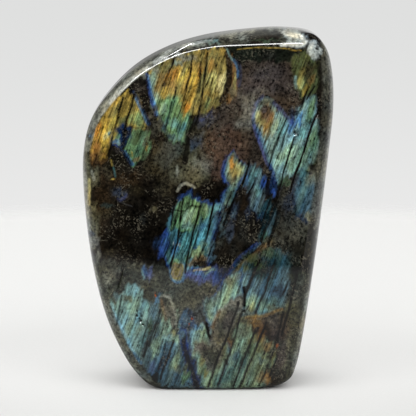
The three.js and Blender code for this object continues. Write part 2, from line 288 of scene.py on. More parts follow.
    Stroke("navy", 0.3, [(-34.9, 100), (-33.2, 97.4), (-31.2, 94.4)], 0.6, 0.8),
    Stroke("teal", 0.18, [(-38.9, 94), (-38.4, 91.6), (-38, 89.4)], 0.4, 0.6),
    Stroke("honey", 0.18, [(-39.8, 96.3), (-39.2, 94)], 0.4, 0.8),
    ("honey", -38.9, 88.2, 0.8, 0.35, 0.7, -20),

    # upper right: the small gold sheet, the brown eye and the broad sea-green sheet
    Patch("moss", [
        (34.4, 138.6), (38, 140.8), (43.5, 139.4), (45.4, 134), (45.4, 128), (43.6, 124), (41, 121.5), (38.4, 122.4),
        (36.3, 126), (35.5, 130), (34.8, 134)], 1.1, 0.5),
    ("umber", 41.6, 133, 2.6, 4, 0.75, 20), ("copper", 42.6, 129, 1.2, 2.6, 0.5, 20),
    ("olive", 38.6, 132, 1.4, 2.6, 0.7, 10), ("lime", 38, 128.2, 1.7, 2.6, 0.85, 15),
    ("honey", 40.2, 125.6, 1.4, 2.4, 0.8, 25),
    Stroke("mist", 0.3, [(35.6, 130.2), (35.9, 128), (36.3, 126)], 0.6, 0.8),
    Patch("mist", [
        (19.4, 119), (22.2, 122.2), (25, 121), (26.6, 119.6), (29, 117.2), (31.8, 114.4), (33.6, 111.6),
        (34.8, 110.2), (35.6, 112.4), (36.4, 116.6), (37.8, 119.2), (41, 121.6), (43.4, 123.6), (44.4, 122.6),
        (44.6, 117), (45.4, 110), (46.2, 104), (45.6, 99), (42, 95), (38, 91.6), (34, 89.4), (30, 88), (28.4, 86.6),
        (27, 88), (26, 91), (24.6, 94.8), (23.2, 98.4), (21.9, 102.6), (20.3, 106.6), (19, 110.6),
        (18.6, 114.6)], 0.7, 0.6, (("steel", 0), ("mist", 1.4))),
    ("sage", 29.6, 97.6, 2.6, 4, 0.6, 20), ("sage", 33.4, 100.6, 3, 4, 0.7, 20), ("cyan", 30.6, 110, 2, 4.4, 0.7, 22),
    ("sky", 32.2, 111.6, 0.9, 3, 0.5, 25), ("azure", 34.2, 110.8, 1.1, 3.4, 0.75, 15),
    ("sky", 33.8, 105.6, 1.4, 3, 0.45, 20), ("azure", 37.4, 112.8, 1.3, 3.4, 0.9, 12),
    ("cyan", 38.6, 107.4, 1.8, 2.6, 0.85, 20), ("teal", 41.4, 112.6, 2, 6, 0.8, 12),
    ("green", 42.4, 117, 1.6, 5, 0.7, 10), ("green", 43.4, 104, 2.4, 6, 0.75, 12),
    ("green", 38.6, 99, 2.4, 4, 0.6, 20), ("moss", 44.6, 98.6, 1.8, 4, 0.35, 12), ("green", 35, 93.6, 3, 3, 0.45, 25),
    ("green", 39.6, 94.6, 2.6, 3, 0.4, 25), ("moss", 31.6, 89, 3.6, 1.6, 0.4, 25),
    ("steel", 26.6, 101, 1.2, 4, 0.3, 20),
    Glaze((1.35, 1.4, 1.4), 27, 96, 4, 6, 20), Glaze((1.35, 1.35, 1.15), 33, 98, 3, 5, 20),
    ("royal", 35.2, 113.4, 1, 2.4, 0.8, -5), ("slate", 34.6, 116, 1.4, 2, 0.85, -10),
    ("slate", 37, 116.6, 0.8, 1.6, 0.7, 10), ("honey", 23.6, 113, 4.2, 7.4, 0.85, -4),
    ("khaki", 22.6, 120, 3, 1.8, 0.8), ("lime", 20.8, 113.4, 0.8, 4, 0.6, -12),
    ("amber", 23.4, 109.4, 1.4, 2.4, 0.5, -8), ("sienna", 24.2, 114.8, 3, 4.4, 0.9, 5),
    ("taupe", 22.9, 117.2, 2, 2.2, 0.85, 3), ("sage", 27.4, 110, 1.4, 3.4, 0.7, 20),
    Stroke("violet", 0.3, [(26.8, 119.9), (29, 117.7), (31.8, 114.9), (34, 111.4)], 0.8, 0.6),
    Stroke("violet", 0.3, [(22.4, 122.6), (19.6, 119.4), (18.4, 114.6), (18.9, 110.6)], 0.9, 0.5),
    Stroke("violet", 0.3, [(18.9, 110.6), (20.2, 106.7), (21.8, 102.6), (23, 98.4), (24.4, 94.8)], 0.6, 0.9),
    Stroke("azure", 0.3, [(20.2, 109), (22.2, 104.6), (24, 99.6), (25.6, 94.6)], 0.7, 0.5),
    Stroke("royal", 0.5, [(25.4, 94), (26.6, 91), (27, 87.6)], 0.8, 0.85),
    ("navy", 25.6, 88.6, 1.2, 3.4, 0.9, 5), ("royal", 27, 83, 1.1, 1.3, 0.85, -20),
    ("soot", 45.6, 118.6, 1, 6, 0.85, 8),
    # the greyer sheet under it
    Patch("steel", [
        (34.8, 85.4), (36.6, 88), (40.4, 90.4), (44.4, 92.6), (47.6, 96), (47.4, 83), (45.6, 76), (43.8, 72.6),
        (40.6, 70.6), (38.2, 71.8), (37, 74.2), (35.8, 78), (34.8, 81.4)], 1.5, 0.25, (("navy", 0), ("slate", 0.6),
        ("steel", 2))),
    ("teal", 39.6, 85, 2.6, 5, 0.55, 20), ("deepteal", 38, 77.6, 2.4, 4, 0.6, 20),
    ("teal", 39.6, 90, 3.4, 2.6, 0.6, 30), ("khaki", 43.6, 89, 3.4, 4, 0.6, 15),
    Glaze((1.3, 1.3, 1.3), 40, 91, 7, 5, 20),
    ("stone", 43, 93.4, 3.4, 2, 0.7, 30), ("stone", 44.4, 78, 2, 4, 0.6, 10), ("khaki", 41.8, 72.6, 3, 2, 0.8, 35),
    ("pine", 31.4, 87.6, 3.6, 1.8, 0.75, 20),

    # the middle: the orange eye and the blue sheets round it
    Patch("sage", [
        (6.8, 95), (7.8, 98.6), (9.9, 99.8), (12, 97.4), (14.4, 95.3), (16, 93.4), (15.5, 90), (13.6, 86.6),
        (12.2, 83.4), (10.6, 79.8), (8.6, 77), (5.6, 76), (5.4, 79.6), (6.4, 83), (7.6, 86), (6.6, 88),
        (6.2, 91)], 0.8, 0.5, (("royal", 0), ("steel", 0.8), ("sage", 2.2))),
    ("khaki", 10, 96.4, 1.8, 2.4, 0.7), ("lime", 12.4, 92.4, 2, 3.4, 0.8, -15),
    ("brass", 10.4, 92, 2.5, 4.4, 0.85, -10),
    Glaze((0.75, 0.72, 0.7), 10, 88.6, 3, 3, 0),
    ("amber", 9.6, 94.6, 1.3, 2.4, 0.75), ("khaki", 10, 88.4, 1.8, 1.4, 0.6), ("teal", 10, 84.6, 2.2, 1.6, 0.6),
    ("deepteal", 8.6, 81.6, 2, 2.6, 0.6, 15), ("teal", 10.6, 81.6, 1, 2.6, 0.8, 15),
    ("azure", 6.4, 80.6, 1, 2.4, 0.7, 10), ("navy", 12.2, 84, 0.8, 2.2, 0.8, 25), ("sky", 5.9, 77.4, 0.8, 0.8, 0.8),
    Stroke("royal", 0.3, [(6.8, 96), (6, 91.6), (6.6, 88.2)], 0.7, 0.75),
    Patch("steel", [
        (16.8, 94), (19.9, 94.8), (22.1, 92.2), (23.8, 88.7), (23.9, 85.9), (23.4, 81.4), (22.5, 77.6), (20.4, 75),
        (17.8, 75.3), (16.6, 78.7), (16.5, 83.1), (14.7, 85.3), (15.4, 89.8)], 1.0, 0.85, (("slate", 0),
        ("steel", 1.6))),
    ("cyan", 18.8, 90.6, 1.8, 3.4, 0.5, 22), ("azure", 15.8, 87.6, 0.9, 3, 0.6, 20),
    ("cyan", 20.6, 84, 1.1, 3.4, 0.45, 15), ("soot", 17.2, 83, 1.4, 2.4, 0.5, 30),
    ("steel", 14.2, 86.6, 1.2, 2, 0.6, 20), ("royal", 22.6, 87.4, 1.2, 2.6, 1, 5),
    ("navy", 21.4, 73.4, 1.6, 2.2, 0.85, 10),
    Patch("deepteal", [
        (22, 78), (25, 80), (28, 76), (28.4, 72), (27, 67), (25.6, 62.6), (22.6, 61.6), (21, 64),
        (22, 71)], 1.4, 0.9),
    ("ink", 26.6, 76, 1.6, 3, 0.6, 10), ("steel", 26.6, 71.6, 0.8, 3.6, 0.7, 18),
    ("steel", 24.6, 67, 1.2, 3, 0.8, 18), ("pine", 23.4, 64.4, 1.6, 2.4, 0.8, 18),
    # the black speckled ground between the sheets
    Patch("soot", [
        (6, 78), (9, 78.6), (14, 84.6), (16.5, 77), (20.4, 72), (20.8, 64), (16.6, 58.6), (11, 52.4), (6.4, 46.6),
        (2.6, 51), (1.6, 58), (3.4, 64), (5.6, 70)], 1.6, 0.35),
    ("slate", 10.4, 74.6, 2, 4, 0.9, 15), ("slate", 8.6, 67.4, 2.6, 4, 0.8, 15), ("slate", 16.6, 75, 1.6, 3, 0.7, 15),
    ("ash", 14.4, 69, 2.4, 3, 0.5), ("umber", 14.6, 78.6, 1.4, 4, 0.6), ("steel", 6.2, 72.4, 2, 4, 0.6, 15),
    ("steel", 10.4, 74.4, 1, 3, 0.4, 15), ("steel", 6, 66.6, 1.2, 2, 0.4, 15), ("ink", 18.6, 67.6, 1.8, 3.6, 0.9, 10),
    ("ink", 8, 52.6, 4, 4.4, 0.85, 35), ("ink", 15.6, 61, 2.4, 2.4, 0.6, 30), ("ash", 5.2, 62.6, 1.6, 3.6, 0.7, 12),
    ("ash", 10.6, 59, 2.4, 3, 0.45, 30),

    # the vivid centre: green above, blue on the left, teal and yellow-green below
    Patch("teal", [
        (-13.2, 79), (-12.4, 80.6), (-11, 81.7), (-9, 82.9), (-7.4, 84), (-6.1, 83.6), (-4.7, 81.6), (-3.3, 79.8),
        (-2, 79.2), (0.3, 79.9), (3.2, 79.2), (5.6, 78.5), (5.4, 74.5), (4.6, 70.8), (3.6, 67.5), (2.4, 64.4),
        (1.6, 62), (0.8, 59.4), (1.4, 55), (-1, 51.4), (-6, 50.2), (-9.6, 50.8), (-12.6, 52.4), (-15.4, 51.4),
        (-16.8, 53.1), (-19, 56), (-20.7, 59.2), (-20, 61.6), (-18.3, 65.3), (-17.2, 67.8), (-15.9, 71),
        (-14.6, 75.3)], 0.8, 0.75, (("navy", -0.2), ("royal", 0.5), ("teal", 2.2))),
    Patch("green", [
        (-12.6, 78.6), (-11, 80.4), (-6.4, 81), (-3.6, 78.6), (-3.4, 74), (-5.2, 69.6), (-7.6, 67.2), (-12, 67.4),
        (-15.2, 67.4), (-15.4, 70), (-14.4, 74.6)], 0.8, 0.8),
    ("moss", -11.6, 78, 1.6, 2.6, 0.6, 12), ("pine", -14, 73, 1, 4, 0.6, 12), ("pine", -9, 77.4, 2.4, 1.6, 0.45),
    ("sage", -8.2, 72.4, 2.6, 4, 0.9, 15), ("sage", -7, 75.6, 2.6, 1.6, 0.6), ("mist", -8.4, 69.6, 2.6, 1.6, 0.6),
    ("teal", -16, 70, 0.9, 3.4, 0.75, 8), ("green", -1.2, 75.6, 2.6, 3.4, 0.85, 15),
    ("sage", -0.4, 76.4, 1.6, 1.6, 0.5, 15), ("cyan", 4, 76.8, 1.6, 1.6, 0.5), ("azure", 3, 70.6, 1.1, 3.6, 0.55, 18),
    ("slate", 3.4, 73.6, 1.6, 1.8, 0.7), ("azure", -2.8, 69, 2.4, 2, 0.45, 15),
    ("cyan", -2.6, 65.6, 1.6, 3.4, 0.8, 15), ("cyan", -5.4, 64.4, 1, 3, 0.45, 15),
    ("cyan", -9.6, 62, 1.6, 4, 0.75, 15), ("cyan", -10, 57.6, 1.1, 2.4, 0.6, 15), ("royal", -17.4, 65.4, 2, 1.6, 0.8),
    ("azure", -13, 61, 1.6, 4, 0.8, 18), ("royal", -18.2, 60, 2.2, 4, 0.9, 30),
    ("navy", -14.6, 62, 1.4, 3.4, 0.5, 18), ("royal", -9, 82.2, 2.4, 1, 0.7, -20),
    ("royal", -4.2, 80, 1, 1.3, 0.9, 30), ("royal", -0.2, 79, 2.2, 0.9, 0.95),
    ("green", -13.6, 54.4, 2, 1.8, 0.75, 15), ("green", -8.6, 56, 1.2, 2.2, 0.7, 18),
    ("lime", -4.6, 58.4, 2.8, 2.4, 0.85, 25), ("sage", -2, 61.4, 1.8, 1.6, 0.9, 20),
    ("royal", -5.2, 61, 1, 0.4, 0.7, 30), ("sky", -0.2, 63.4, 0.8, 2.2, 0.6, 18), ("sage", 0.2, 59, 0.8, 2, 0.7, 18),
    ("steel", 1.4, 61, 1.4, 3, 0.8, 18), ("steel", 1.6, 57, 1.6, 2, 0.6, 10), ("copper", -3.4, 55.4, 3.6, 1.6, 0.85),
    ("copper", -6.6, 53.8, 1.8, 1.4, 0.7), ("umber", -2.8, 53.4, 3.6, 1.9, 0.95), ("ink", -5, 53.4, 1.1, 1, 0.9),
    ("mist", -8.6, 51.6, 1.6, 1.6, 0.55), ("chalk", -11.6, 61.4, 0.55, 1, 0.75, -10),
    ("chalk", -13.9, 62.3, 0.5, 0.5, 0.4),
    Stroke("straw", 0.2, [(-5.9, 50.7), (-3.6, 51.1), (-1.2, 51.7), (0.8, 52.3)], 0.5, 0.65),
    Patch("violet", [
        (-9.6, 50.4), (-6, 50), (-3, 50.6), (0, 51.2), (2.6, 51.8), (4.8, 50.4), (4.6, 46.4), (3.6, 44.8), (0.6, 46),
        (-3.4, 46.4), (-8, 47)], 1.4, 0.3),
    ("royal", 3.4, 48.6, 2.6, 3.6, 0.75), ("navy", 6, 50.4, 2, 2.2, 0.8, 30), ("azure", -3, 49.4, 4.6, 0.9, 0.5),
    ("sage", 0.6, 50.6, 2.4, 0.9, 0.6),
    Patch("olive", [
        (-15.4, 52.4), (-15.5, 49.8), (-14.5, 47.4), (-12.6, 46.3), (-11, 47), (-10.2, 49), (-10, 51.6),
        (-11.6, 53.6), (-14, 54)], 0.7, 0.2, (("mist", -0.2), ("olive", 0.8), ("clay", 1.6))),
    Stroke("azure", 0.2, [
        (-15.6, 52), (-15.8, 49.4), (-14.6, 46.9), (-12.6, 45.9), (-10.6, 46.5), (-9.8, 48.8)], 0.6, 0.5),

    # the gold and blue band that runs down to the right of the black ground
    Stroke("loam", 1.5, [(25.4, 63), (22, 58.4), (18, 54.6), (14.4, 51.4), (10.8, 47.8)], 1.6, 0.85),
    Stroke("copper", 0.3, [(24, 61.6), (21, 59), (18, 56.2), (14.6, 53.2), (11.6, 50)], 1.0, 0.3),
    ("copper", 25, 61.4, 1, 2.4, 0.3, 15),
    Stroke("honey", 0.12, [(16, 55.4), (12.6, 52.2), (9.8, 48.8)], 0.7, 0.35),
    Stroke("azure", 0.25, [
        (21.6, 62.2), (18.4, 59.4), (15.2, 57), (12.7, 54.4), (10.6, 51.8), (8.9, 49.4)], 0.5, 0.25),
    Stroke("royal", 0.4, [
        (20, 62), (17.4, 60), (14.4, 57.6), (11.8, 54.8), (9.6, 51.8), (7.6, 48.8), (5.4, 45.4),
        (4.2, 42.6)], 0.6, 0.5),

    # lower right: sea-blue sheet, dark above, paler and greener at its foot
    Patch("steel", [
        (12.6, 51.6), (16.6, 54), (21.6, 57), (27, 59), (31.4, 57), (33.2, 52), (33.2, 46), (32.2, 40), (30.6, 35.4),
        (26, 32.9), (21, 31.3), (16, 30.9), (15.2, 34), (15.5, 39), (14.6, 43), (13.6, 45.4),
        (12.2, 47.6)], 1.8, 0.7),
    ("deepteal", 28, 54, 6, 6, 0.85, 10), ("deepteal", 21, 51, 5, 4.4, 0.75, 20),
    Glaze((0.45, 0.42, 0.42), 22, 52.6, 9, 6, 20), Glaze((1.25, 1.25, 1.15), 27, 33.4, 12, 5),
    ("moss", 19, 55, 5, 2.4, 0.7, 30), ("pine", 25.6, 58, 4, 2.4, 0.7, 20), ("olive", 15.4, 51, 1.2, 2, 0.5, 30),
    ("steel", 30, 49.6, 2, 3, 0.55, 10), ("deepteal", 25.6, 45.6, 2.2, 4, 0.45, 15),
    ("mist", 14.6, 45, 1.6, 3, 0.9, 20), ("mist", 17.6, 41.6, 2.4, 2.4, 0.6, 20),
    ("slate", 29.4, 42, 2.6, 3, 0.6, 20), ("slate", 26.6, 42, 1, 2.4, 0.4, 20), ("sage", 18.6, 37.6, 3, 3.4, 0.9, 25),
    ("lime", 18.6, 36, 1.4, 2.6, 0.5, 25), ("khaki", 17.4, 33, 2.4, 1.6, 0.7), ("olive", 18, 34.6, 2.6, 1.4, 0.6, 15),
    ("moss", 25.6, 37.6, 3.4, 3, 0.5, 20), ("sage", 23.4, 35.6, 2.6, 2, 0.5, 20),
    ("khaki", 26.4, 34.6, 3, 1.4, 0.6, 15),
    Patch("sage", [
        (5.4, 45.2), (7.4, 47.8), (10, 49.6), (12.6, 51), (13.6, 47), (14, 43), (13.9, 38.8), (12, 39.4), (9.4, 38),
        (7, 35.6), (4.8, 33.4), (3, 30.6), (1.6, 27), (1.3, 23), (0.4, 21.4), (0.4, 27.4), (-0.8, 30.4), (-1.8, 33.8),
        (-1.9, 37.6), (-0.6, 39.8), (1.6, 39.4), (4.2, 41)], 0.9, 0.6, (("royal", -0.5), ("mist", 0.8),
        ("sage", 2.2))),
    ("sage", 7, 39.6, 3, 4, 0.7, 20), ("mist", 2.4, 33.4, 1.4, 3.4, 0.7, 8), ("khaki", 8.6, 46.4, 2, 2, 0.7, 25),
    ("clay", 12.4, 47.6, 1.4, 2.4, 0.6, 20),
    Glaze((1.35, 1.3, 1.2), 8, 41, 6, 6, 20),
    Patch("stone", [
        (13.9, 39), (11.5, 39.2), (8.5, 38), (6, 35.4), (4, 32.4), (2.2, 28), (1.8, 24), (2.7, 21.5), (5, 20.4),
        (8, 21), (9.6, 25), (11.6, 29), (13.2, 33)], 1.5, 0.4, (("khaki", -0.3), ("clay", 1.1), ("stone", 2.6))),
    ("clay", 12, 36.4, 2.6, 2.6, 0.75, 25), ("khaki", 6, 32.6, 2, 3, 0.6, 25),
    ("taupe", 8.4, 30.4, 2.4, 4.4, 0.6, 20),
    Stroke("copper", 0.35, [(4.5, 33.8), (2.8, 30.6), (1.8, 27)], 0.9, 0.5),
    ("bone", 5.4, 34.8, 1, 0.7, 0.4, 35),
    Patch("bark", [
        (13.6, 30.4), (20, 31.2), (26, 32.4), (31, 34.6), (33.2, 30), (33.6, 25), (32, 21), (28, 20.6), (24, 21.6),
        (20, 23.6), (16.8, 26)], 2, 0.5),
    ("khaki", 15.4, 29.6, 3.6, 2.4, 0.8, 10), ("copper", 19.4, 29.4, 3.4, 2.4, 0.5, 10),
    ("sienna", 22, 26, 2.4, 4, 0.45, 20), ("taupe", 26, 29, 4, 3.4, 0.6, 20), ("taupe", 29, 26.4, 4.4, 5.4, 0.7, 20),
    Glaze((1.05, 1.1, 1.15), 23, 29, 9, 5),
    Stroke("copper", 0.22, [(16, 31.2), (19, 31), (22, 31.4), (25, 32.6), (28, 34), (30.8, 34.6)], 0.8, 0.6),
    Stroke("honey", 0.1, [(16.4, 31.8), (19.6, 31.6), (22, 32)], 0.5, 0.3),
    ("bone", 15, 33.8, 0.9, 1, 0.85, 30),
    Patch("sage", [
        (10.6, 21), (11.6, 26.6), (14, 28.6), (17, 26), (20, 23.4), (24, 21.4), (27.6, 18.4), (27.4, 12), (24, 7),
        (22, 0.4), (14, 0.4), (4.6, 0.4), (5.6, 5), (7.6, 11), (9, 17)], 1.6, 0.7),
    Glaze((0.74, 0.68, 0.66), 20, 12, 10, 14, 20),
    ("khaki", 15.4, 24.6, 2.6, 3.4, 0.7, 20), ("clay", 13, 25.4, 1.4, 3, 0.4, 20),
    ("olive", 18.6, 21.6, 2, 3, 0.75, 20), ("copper", 22, 21.6, 2.6, 2.4, 0.8, 20),
    ("moss", 18, 17.6, 1.4, 3, 0.7, 20), ("steel", 11.4, 14.6, 1.6, 3.6, 0.8, 20),
    ("teal", 8.6, 6.6, 2.6, 5, 0.7, 20), ("teal", 13.6, 12, 2.6, 4, 0.6, 20), ("pine", 15, 14, 1, 3.4, 0.5, 20),
    ("olive", 21.6, 18, 1.6, 3, 0.65, 20), ("steel", 22.2, 12.6, 1.8, 1.2, 0.75, 20),
    ("moss", 19, 8, 1.2, 3.4, 0.5, 20), ("copper", 21.8, 5.4, 1.6, 3, 0.6, 20), ("copper", 25, 18.6, 2.2, 3, 0.7, 20),
    ("bark", 26.4, 15, 2.4, 3.4, 0.8, 15), ("olive", 27, 12.6, 0.9, 3.4, 0.6, 15),
    ("umber", 26.4, 8.6, 2, 2.4, 0.5, 15), ("copper", 24.8, 5.4, 1.6, 3.4, 0.8, 12),
    ("umber", 27.6, 4, 2, 3.4, 0.7, 10), ("rust", 28.4, 18.8, 0.4, 1.1, 0.6, 20), ("khaki", 34, 15, 3, 8, 0.6, 10),
    ("taupe", 30.4, 14, 2.4, 6, 0.75, 10), ("bark", 30, 5.6, 2.6, 3, 0.6, 10),
    Glaze((1.45, 1.4, 1.35), 34, 20, 5, 20, 8), Glaze((1.65, 1.6, 1.5), 5, 34, 9, 5),

    # bottom middle: sage and orange cloud, and the dark blue leg
    ("stone", -4, 37, 8, 9, 0.6), ("slate", -3, 33, 3, 4, 0.35),
    Patch("sage", [
        (-7.6, 21), (-6.7, 25.4), (-5, 27), (-2.6, 28.3), (-0.4, 27.6), (0.6, 24), (1.2, 21), (2.6, 20), (5, 20),
        (8, 20.6), (9.4, 17), (7.8, 11), (5.4, 5), (4, 0.4), (-1.8, 0.4), (-2.9, 5), (-4.4, 9), (-6, 13.4),
        (-7.2, 17)], 1.1, 0.4, (("royal", -0.7), ("mist", 0.5), ("sage", 1.8))),
    ("azure", -4, 26.8, 2.4, 1, 0.6, 10), ("mist", -5, 23, 2.4, 2.6, 0.9),
    Glaze((1.3, 1.3, 1.3), -5, 19, 2.4, 8, -8),
    Patch("stone", [
        (-6.2, 18.4), (-4.8, 21), (-2, 21.4), (0.2, 20.6), (2.6, 20.6), (5.4, 20), (6.6, 15), (4.8, 11), (1.8, 8),
        (-1, 10.4), (-3.2, 14), (-5.6, 16)], 1.4, 0.35, (("khaki", -0.4), ("clay", 0.9), ("stone", 2.2))),
    ("clay", 1.6, 22, 2.4, 3, 0.5), ("taupe", -2.4, 18.4, 2.6, 1.6, 0.6), ("khaki", 6.6, 17.4, 1.4, 3.4, 0.7, 20),
    ("olive", -2.6, 12.6, 1.6, 2.6, 0.6, 15), ("moss", -1.6, 8, 2, 2.6, 0.8, 10),
    ("honey", -0.6, 7.6, 0.9, 2.2, 0.4, 15), ("olive", 7.4, 14, 1.2, 3, 0.4, 20),
    ("copper", 9, 20.4, 1.4, 2, 0.5, 20), ("smoke", 3.4, 17.8, 1.7, 0.6, 0.6, 10), ("teal", 3.4, 4, 2, 3, 0.6, 20),
    Patch("navy", [
        (-12, 25.6), (-9.6, 26.2), (-8.6, 24), (-8.2, 19), (-7, 14), (-5, 9), (-3.5, 4.5), (-2.4, 0.4), (-5.6, 0.4),
        (-7, 5), (-8.8, 10), (-10.4, 15), (-11.4, 20)], 0.9, 0.2, (("steel", -0.8), ("royal", 0.1), ("slate", 1.2))),
    Stroke("soot", 0.5, [(-10.2, 22), (-9.4, 17), (-7.8, 11), (-5.6, 5.6), (-4.2, 1.4)], 1, 0.55),
    ("steel", -10.4, 24, 1.6, 2.6, 0.45),
    Patch("slate", [
        (-12, 27), (-11.2, 31), (-9.4, 34.4), (-7.6, 34.6), (-5.6, 31.6), (-5, 28), (-8, 26.4)], 1.2, 0.2),
    Stroke("azure", 0.2, [(-12, 27), (-11, 30.6), (-9.2, 33.8)], 0.9, 0.3),
    ("steel", -9, 30, 2.4, 3.4, 0.35, 10),
    Glaze((1.6, 1.55, 1.5), -8, 31, 7, 10),
    ("rust", -21.6, 40.5, 0.45, 0.5, 1), ("rust", -6.8, 30.4, 0.4, 0.7, 0.9, 20),
    ("rust", -8.1, 28, 0.28, 0.8, 0.9, 10),

    # lower left: pale sea-green sheet, brown tongue, blue stripes
    ("violet", -25, 49.6, 2.2, 3, 0.6, -25), ("azure", -26, 50.8, 1.2, 1.8, 0.5, -25),
    ("mist", -26.9, 49.2, 0.6, 1.7, 0.8, -15),
    Patch("mist", [
        (-36.6, 38.4), (-34.6, 42), (-33.2, 44.6), (-29.4, 44), (-27, 41.6), (-26.2, 38.2), (-24, 35.4), (-23.9, 31),
        (-24.7, 27), (-25.6, 23), (-27.6, 17.6), (-28.3, 12.8), (-30, 13.6), (-32.3, 18), (-35.1, 22.5), (-37, 27),
        (-39, 31.4), (-40.7, 36), (-40.4, 37.8), (-38, 36)], 1.0, 0.4),
    ("sage", -31, 36, 3.4, 5, 0.6, 20), ("khaki", -33, 38.6, 2.4, 1.6, 0.8, 30),
    ("cyan", -25.6, 34, 1.2, 3.4, 0.4, 10), ("sage", -31.6, 26, 3, 4, 0.5, 20), ("teal", -26.6, 22, 1.6, 4, 0.5, 20),
    ("steel", -37.6, 39.4, 2, 1.6, 0.6, 30),
    Glaze((1.2, 1.2, 1.18), -37, 31, 3, 9, -22),
    Stroke("sky", 0.5, [(-40, 36.2), (-38.6, 31.4), (-36.2, 26.6), (-33.8, 21.6), (-31.4, 17)], 0.8, 0.7),
    Stroke("azure", 0.4, [(-30.6, 15.6), (-29, 13.4), (-27.8, 11.6)], 0.8, 0.7),
    Patch("steel", [
        (-24.2, 35), (-22, 38), (-19.8, 41), (-18.8, 41.6), (-20, 36), (-19.4, 30), (-18, 24), (-17.5, 20), (-20, 14),
        (-22.4, 8.4), (-26.4, 10), (-27.8, 13), (-26.4, 18), (-24.9, 24), (-23.9, 30)], 0.9, 0.7),
    ("azure", -20.6, 39, 1, 2.2, 0.6, 15), ("pine", -23.8, 27.6, 1.2, 3.4, 0.8, 10),
    ("moss", -21.6, 25.6, 1.4, 2.6, 0.4, 10), ("stone", -25, 18, 1.8, 5, 0.6, 15),
    ("sage", -18.6, 26, 1.8, 6, 0.75, 10),
    Patch("stone", [
        (-19.8, 39.8), (-18.2, 41), (-16, 40.4), (-14.1, 37), (-13, 33), (-12.6, 29), (-12.8, 25), (-14.2, 21.4),
        (-16.6, 21), (-18, 25), (-18.6, 30), (-19.4, 34.6)], 1, 0.3, (("sage", -0.5), ("clay", 0.7), ("stone", 2))),
    ("clay", -15.6, 31, 2, 5, 0.75, 10), ("sage", -16.6, 27, 1.6, 4, 0.8, 10), ("lime", -14.6, 23.6, 1, 2, 0.4, 10),
    Stroke("bone", 0.12, [(-18.6, 40.4), (-16.4, 39.9), (-14.6, 36.8), (-13.3, 32), (-12.9, 28)], 0.6, 0.5),
    Stroke("copper", 0.2, [(-19.4, 38.6), (-18.6, 34.6), (-17.6, 30)], 0.8, 0.35),
    Patch("steel", [
        (-27, 10.6), (-24.2, 17), (-22.4, 22.6), (-20, 21), (-17.4, 20), (-14, 20.6), (-12.4, 21.4), (-11, 14),
        (-9.2, 9.6), (-7.6, 5), (-6.2, 0.4), (-12, 0.4), (-17, 0.4), (-21, 3.4), (-24, 6.4)], 1.0, 0.7),
    ("sage", -21.6, 18.6, 2, 4, 0.85, 20), ("mist", -17, 22, 3, 1.8, 0.85), ("sage", -13.6, 21.4, 1.8, 2.2, 0.8, 10),
    ("mist", -13, 18, 1.6, 2.6, 0.6, 15),
    Glaze((1.35, 1.35, 1.3), -16, 22, 6, 3, 0),
    ("violet", -23, 10, 1.7, 3, 0.5, 20), ("slate", -18, 12, 2, 5, 0.7, 20), ("navy", -20.6, 8.6, 1.4, 4, 0.5, 20),
    ("ink", -22.4, 5.4, 3, 2.6, 0.85, 30), ("sage", -13.6, 12, 2, 4, 0.85, 20),
    ("olive", -12.4, 9.6, 1.6, 2.4, 0.5, 20), ("green", -9.6, 6, 1.7, 3.4, 0.75, 20),
    ("khaki", -9.4, 9, 1, 2.6, 0.6, 15),
    Glaze((1.3, 1.28, 1.25), -7, 19, 8, 5), Glaze((1.3, 1.35, 1.35), -22, 16, 7, 3),
    Glaze((0.8, 0.8, 0.8), 9, 4, 10, 4),

    # wide soft shading over the whole
    Glaze((1.3, 1.5, 1.6), 20, 64, 9, 3), Glaze((0.62, 0.65, 0.7), 22, 71, 8, 3.4),
    Glaze((0.8, 0.78, 0.8), 5, 70.6, 6, 2), Glaze((1.25, 1.35, 1.35), 7, 64, 5, 3),
    Glaze((0.72, 0.74, 0.78), 8, 82, 6, 3.4), Glaze((0.75, 0.78, 0.72), 37, 54, 6, 8),
    Glaze((0.7, 0.75, 0.62), 14, 52, 14, 3.4, 10), Glaze((1.25, 1.5, 1.55), -7, 100, 8, 5, 10),
    Glaze((1.05, 1.15, 1.15), 6, 103, 6, 6), Glaze((0.6, 0.65, 0.6), -38, 97, 8, 5),
    Glaze((0.72, 0.85, 0.98), -37, 109, 7, 7), Glaze((0.8, 0.85, 0.88), 38, 127, 5, 8),
    Glaze((1.15, 1.2, 1.15), -36, 38, 7, 8), Glaze((1.1, 1.2, 1.15), 26, 32, 12, 8),
    Glaze((0.7, 0.97, 1.1), -8, 63, 10, 9), Glaze((0.85, 1, 1.15), 22, 88, 7, 4),
    Glaze((0.75, 0.8, 0.72), 4, 50, 5, 3), Glaze((0.95, 0.85, 0.78), 22, 58, 7, 3),
    Glaze((1.4, 1.4, 1.4), 24, 4, 6, 3), Glaze((1.3, 1.3, 1.3), -24, 5, 5, 3),
]

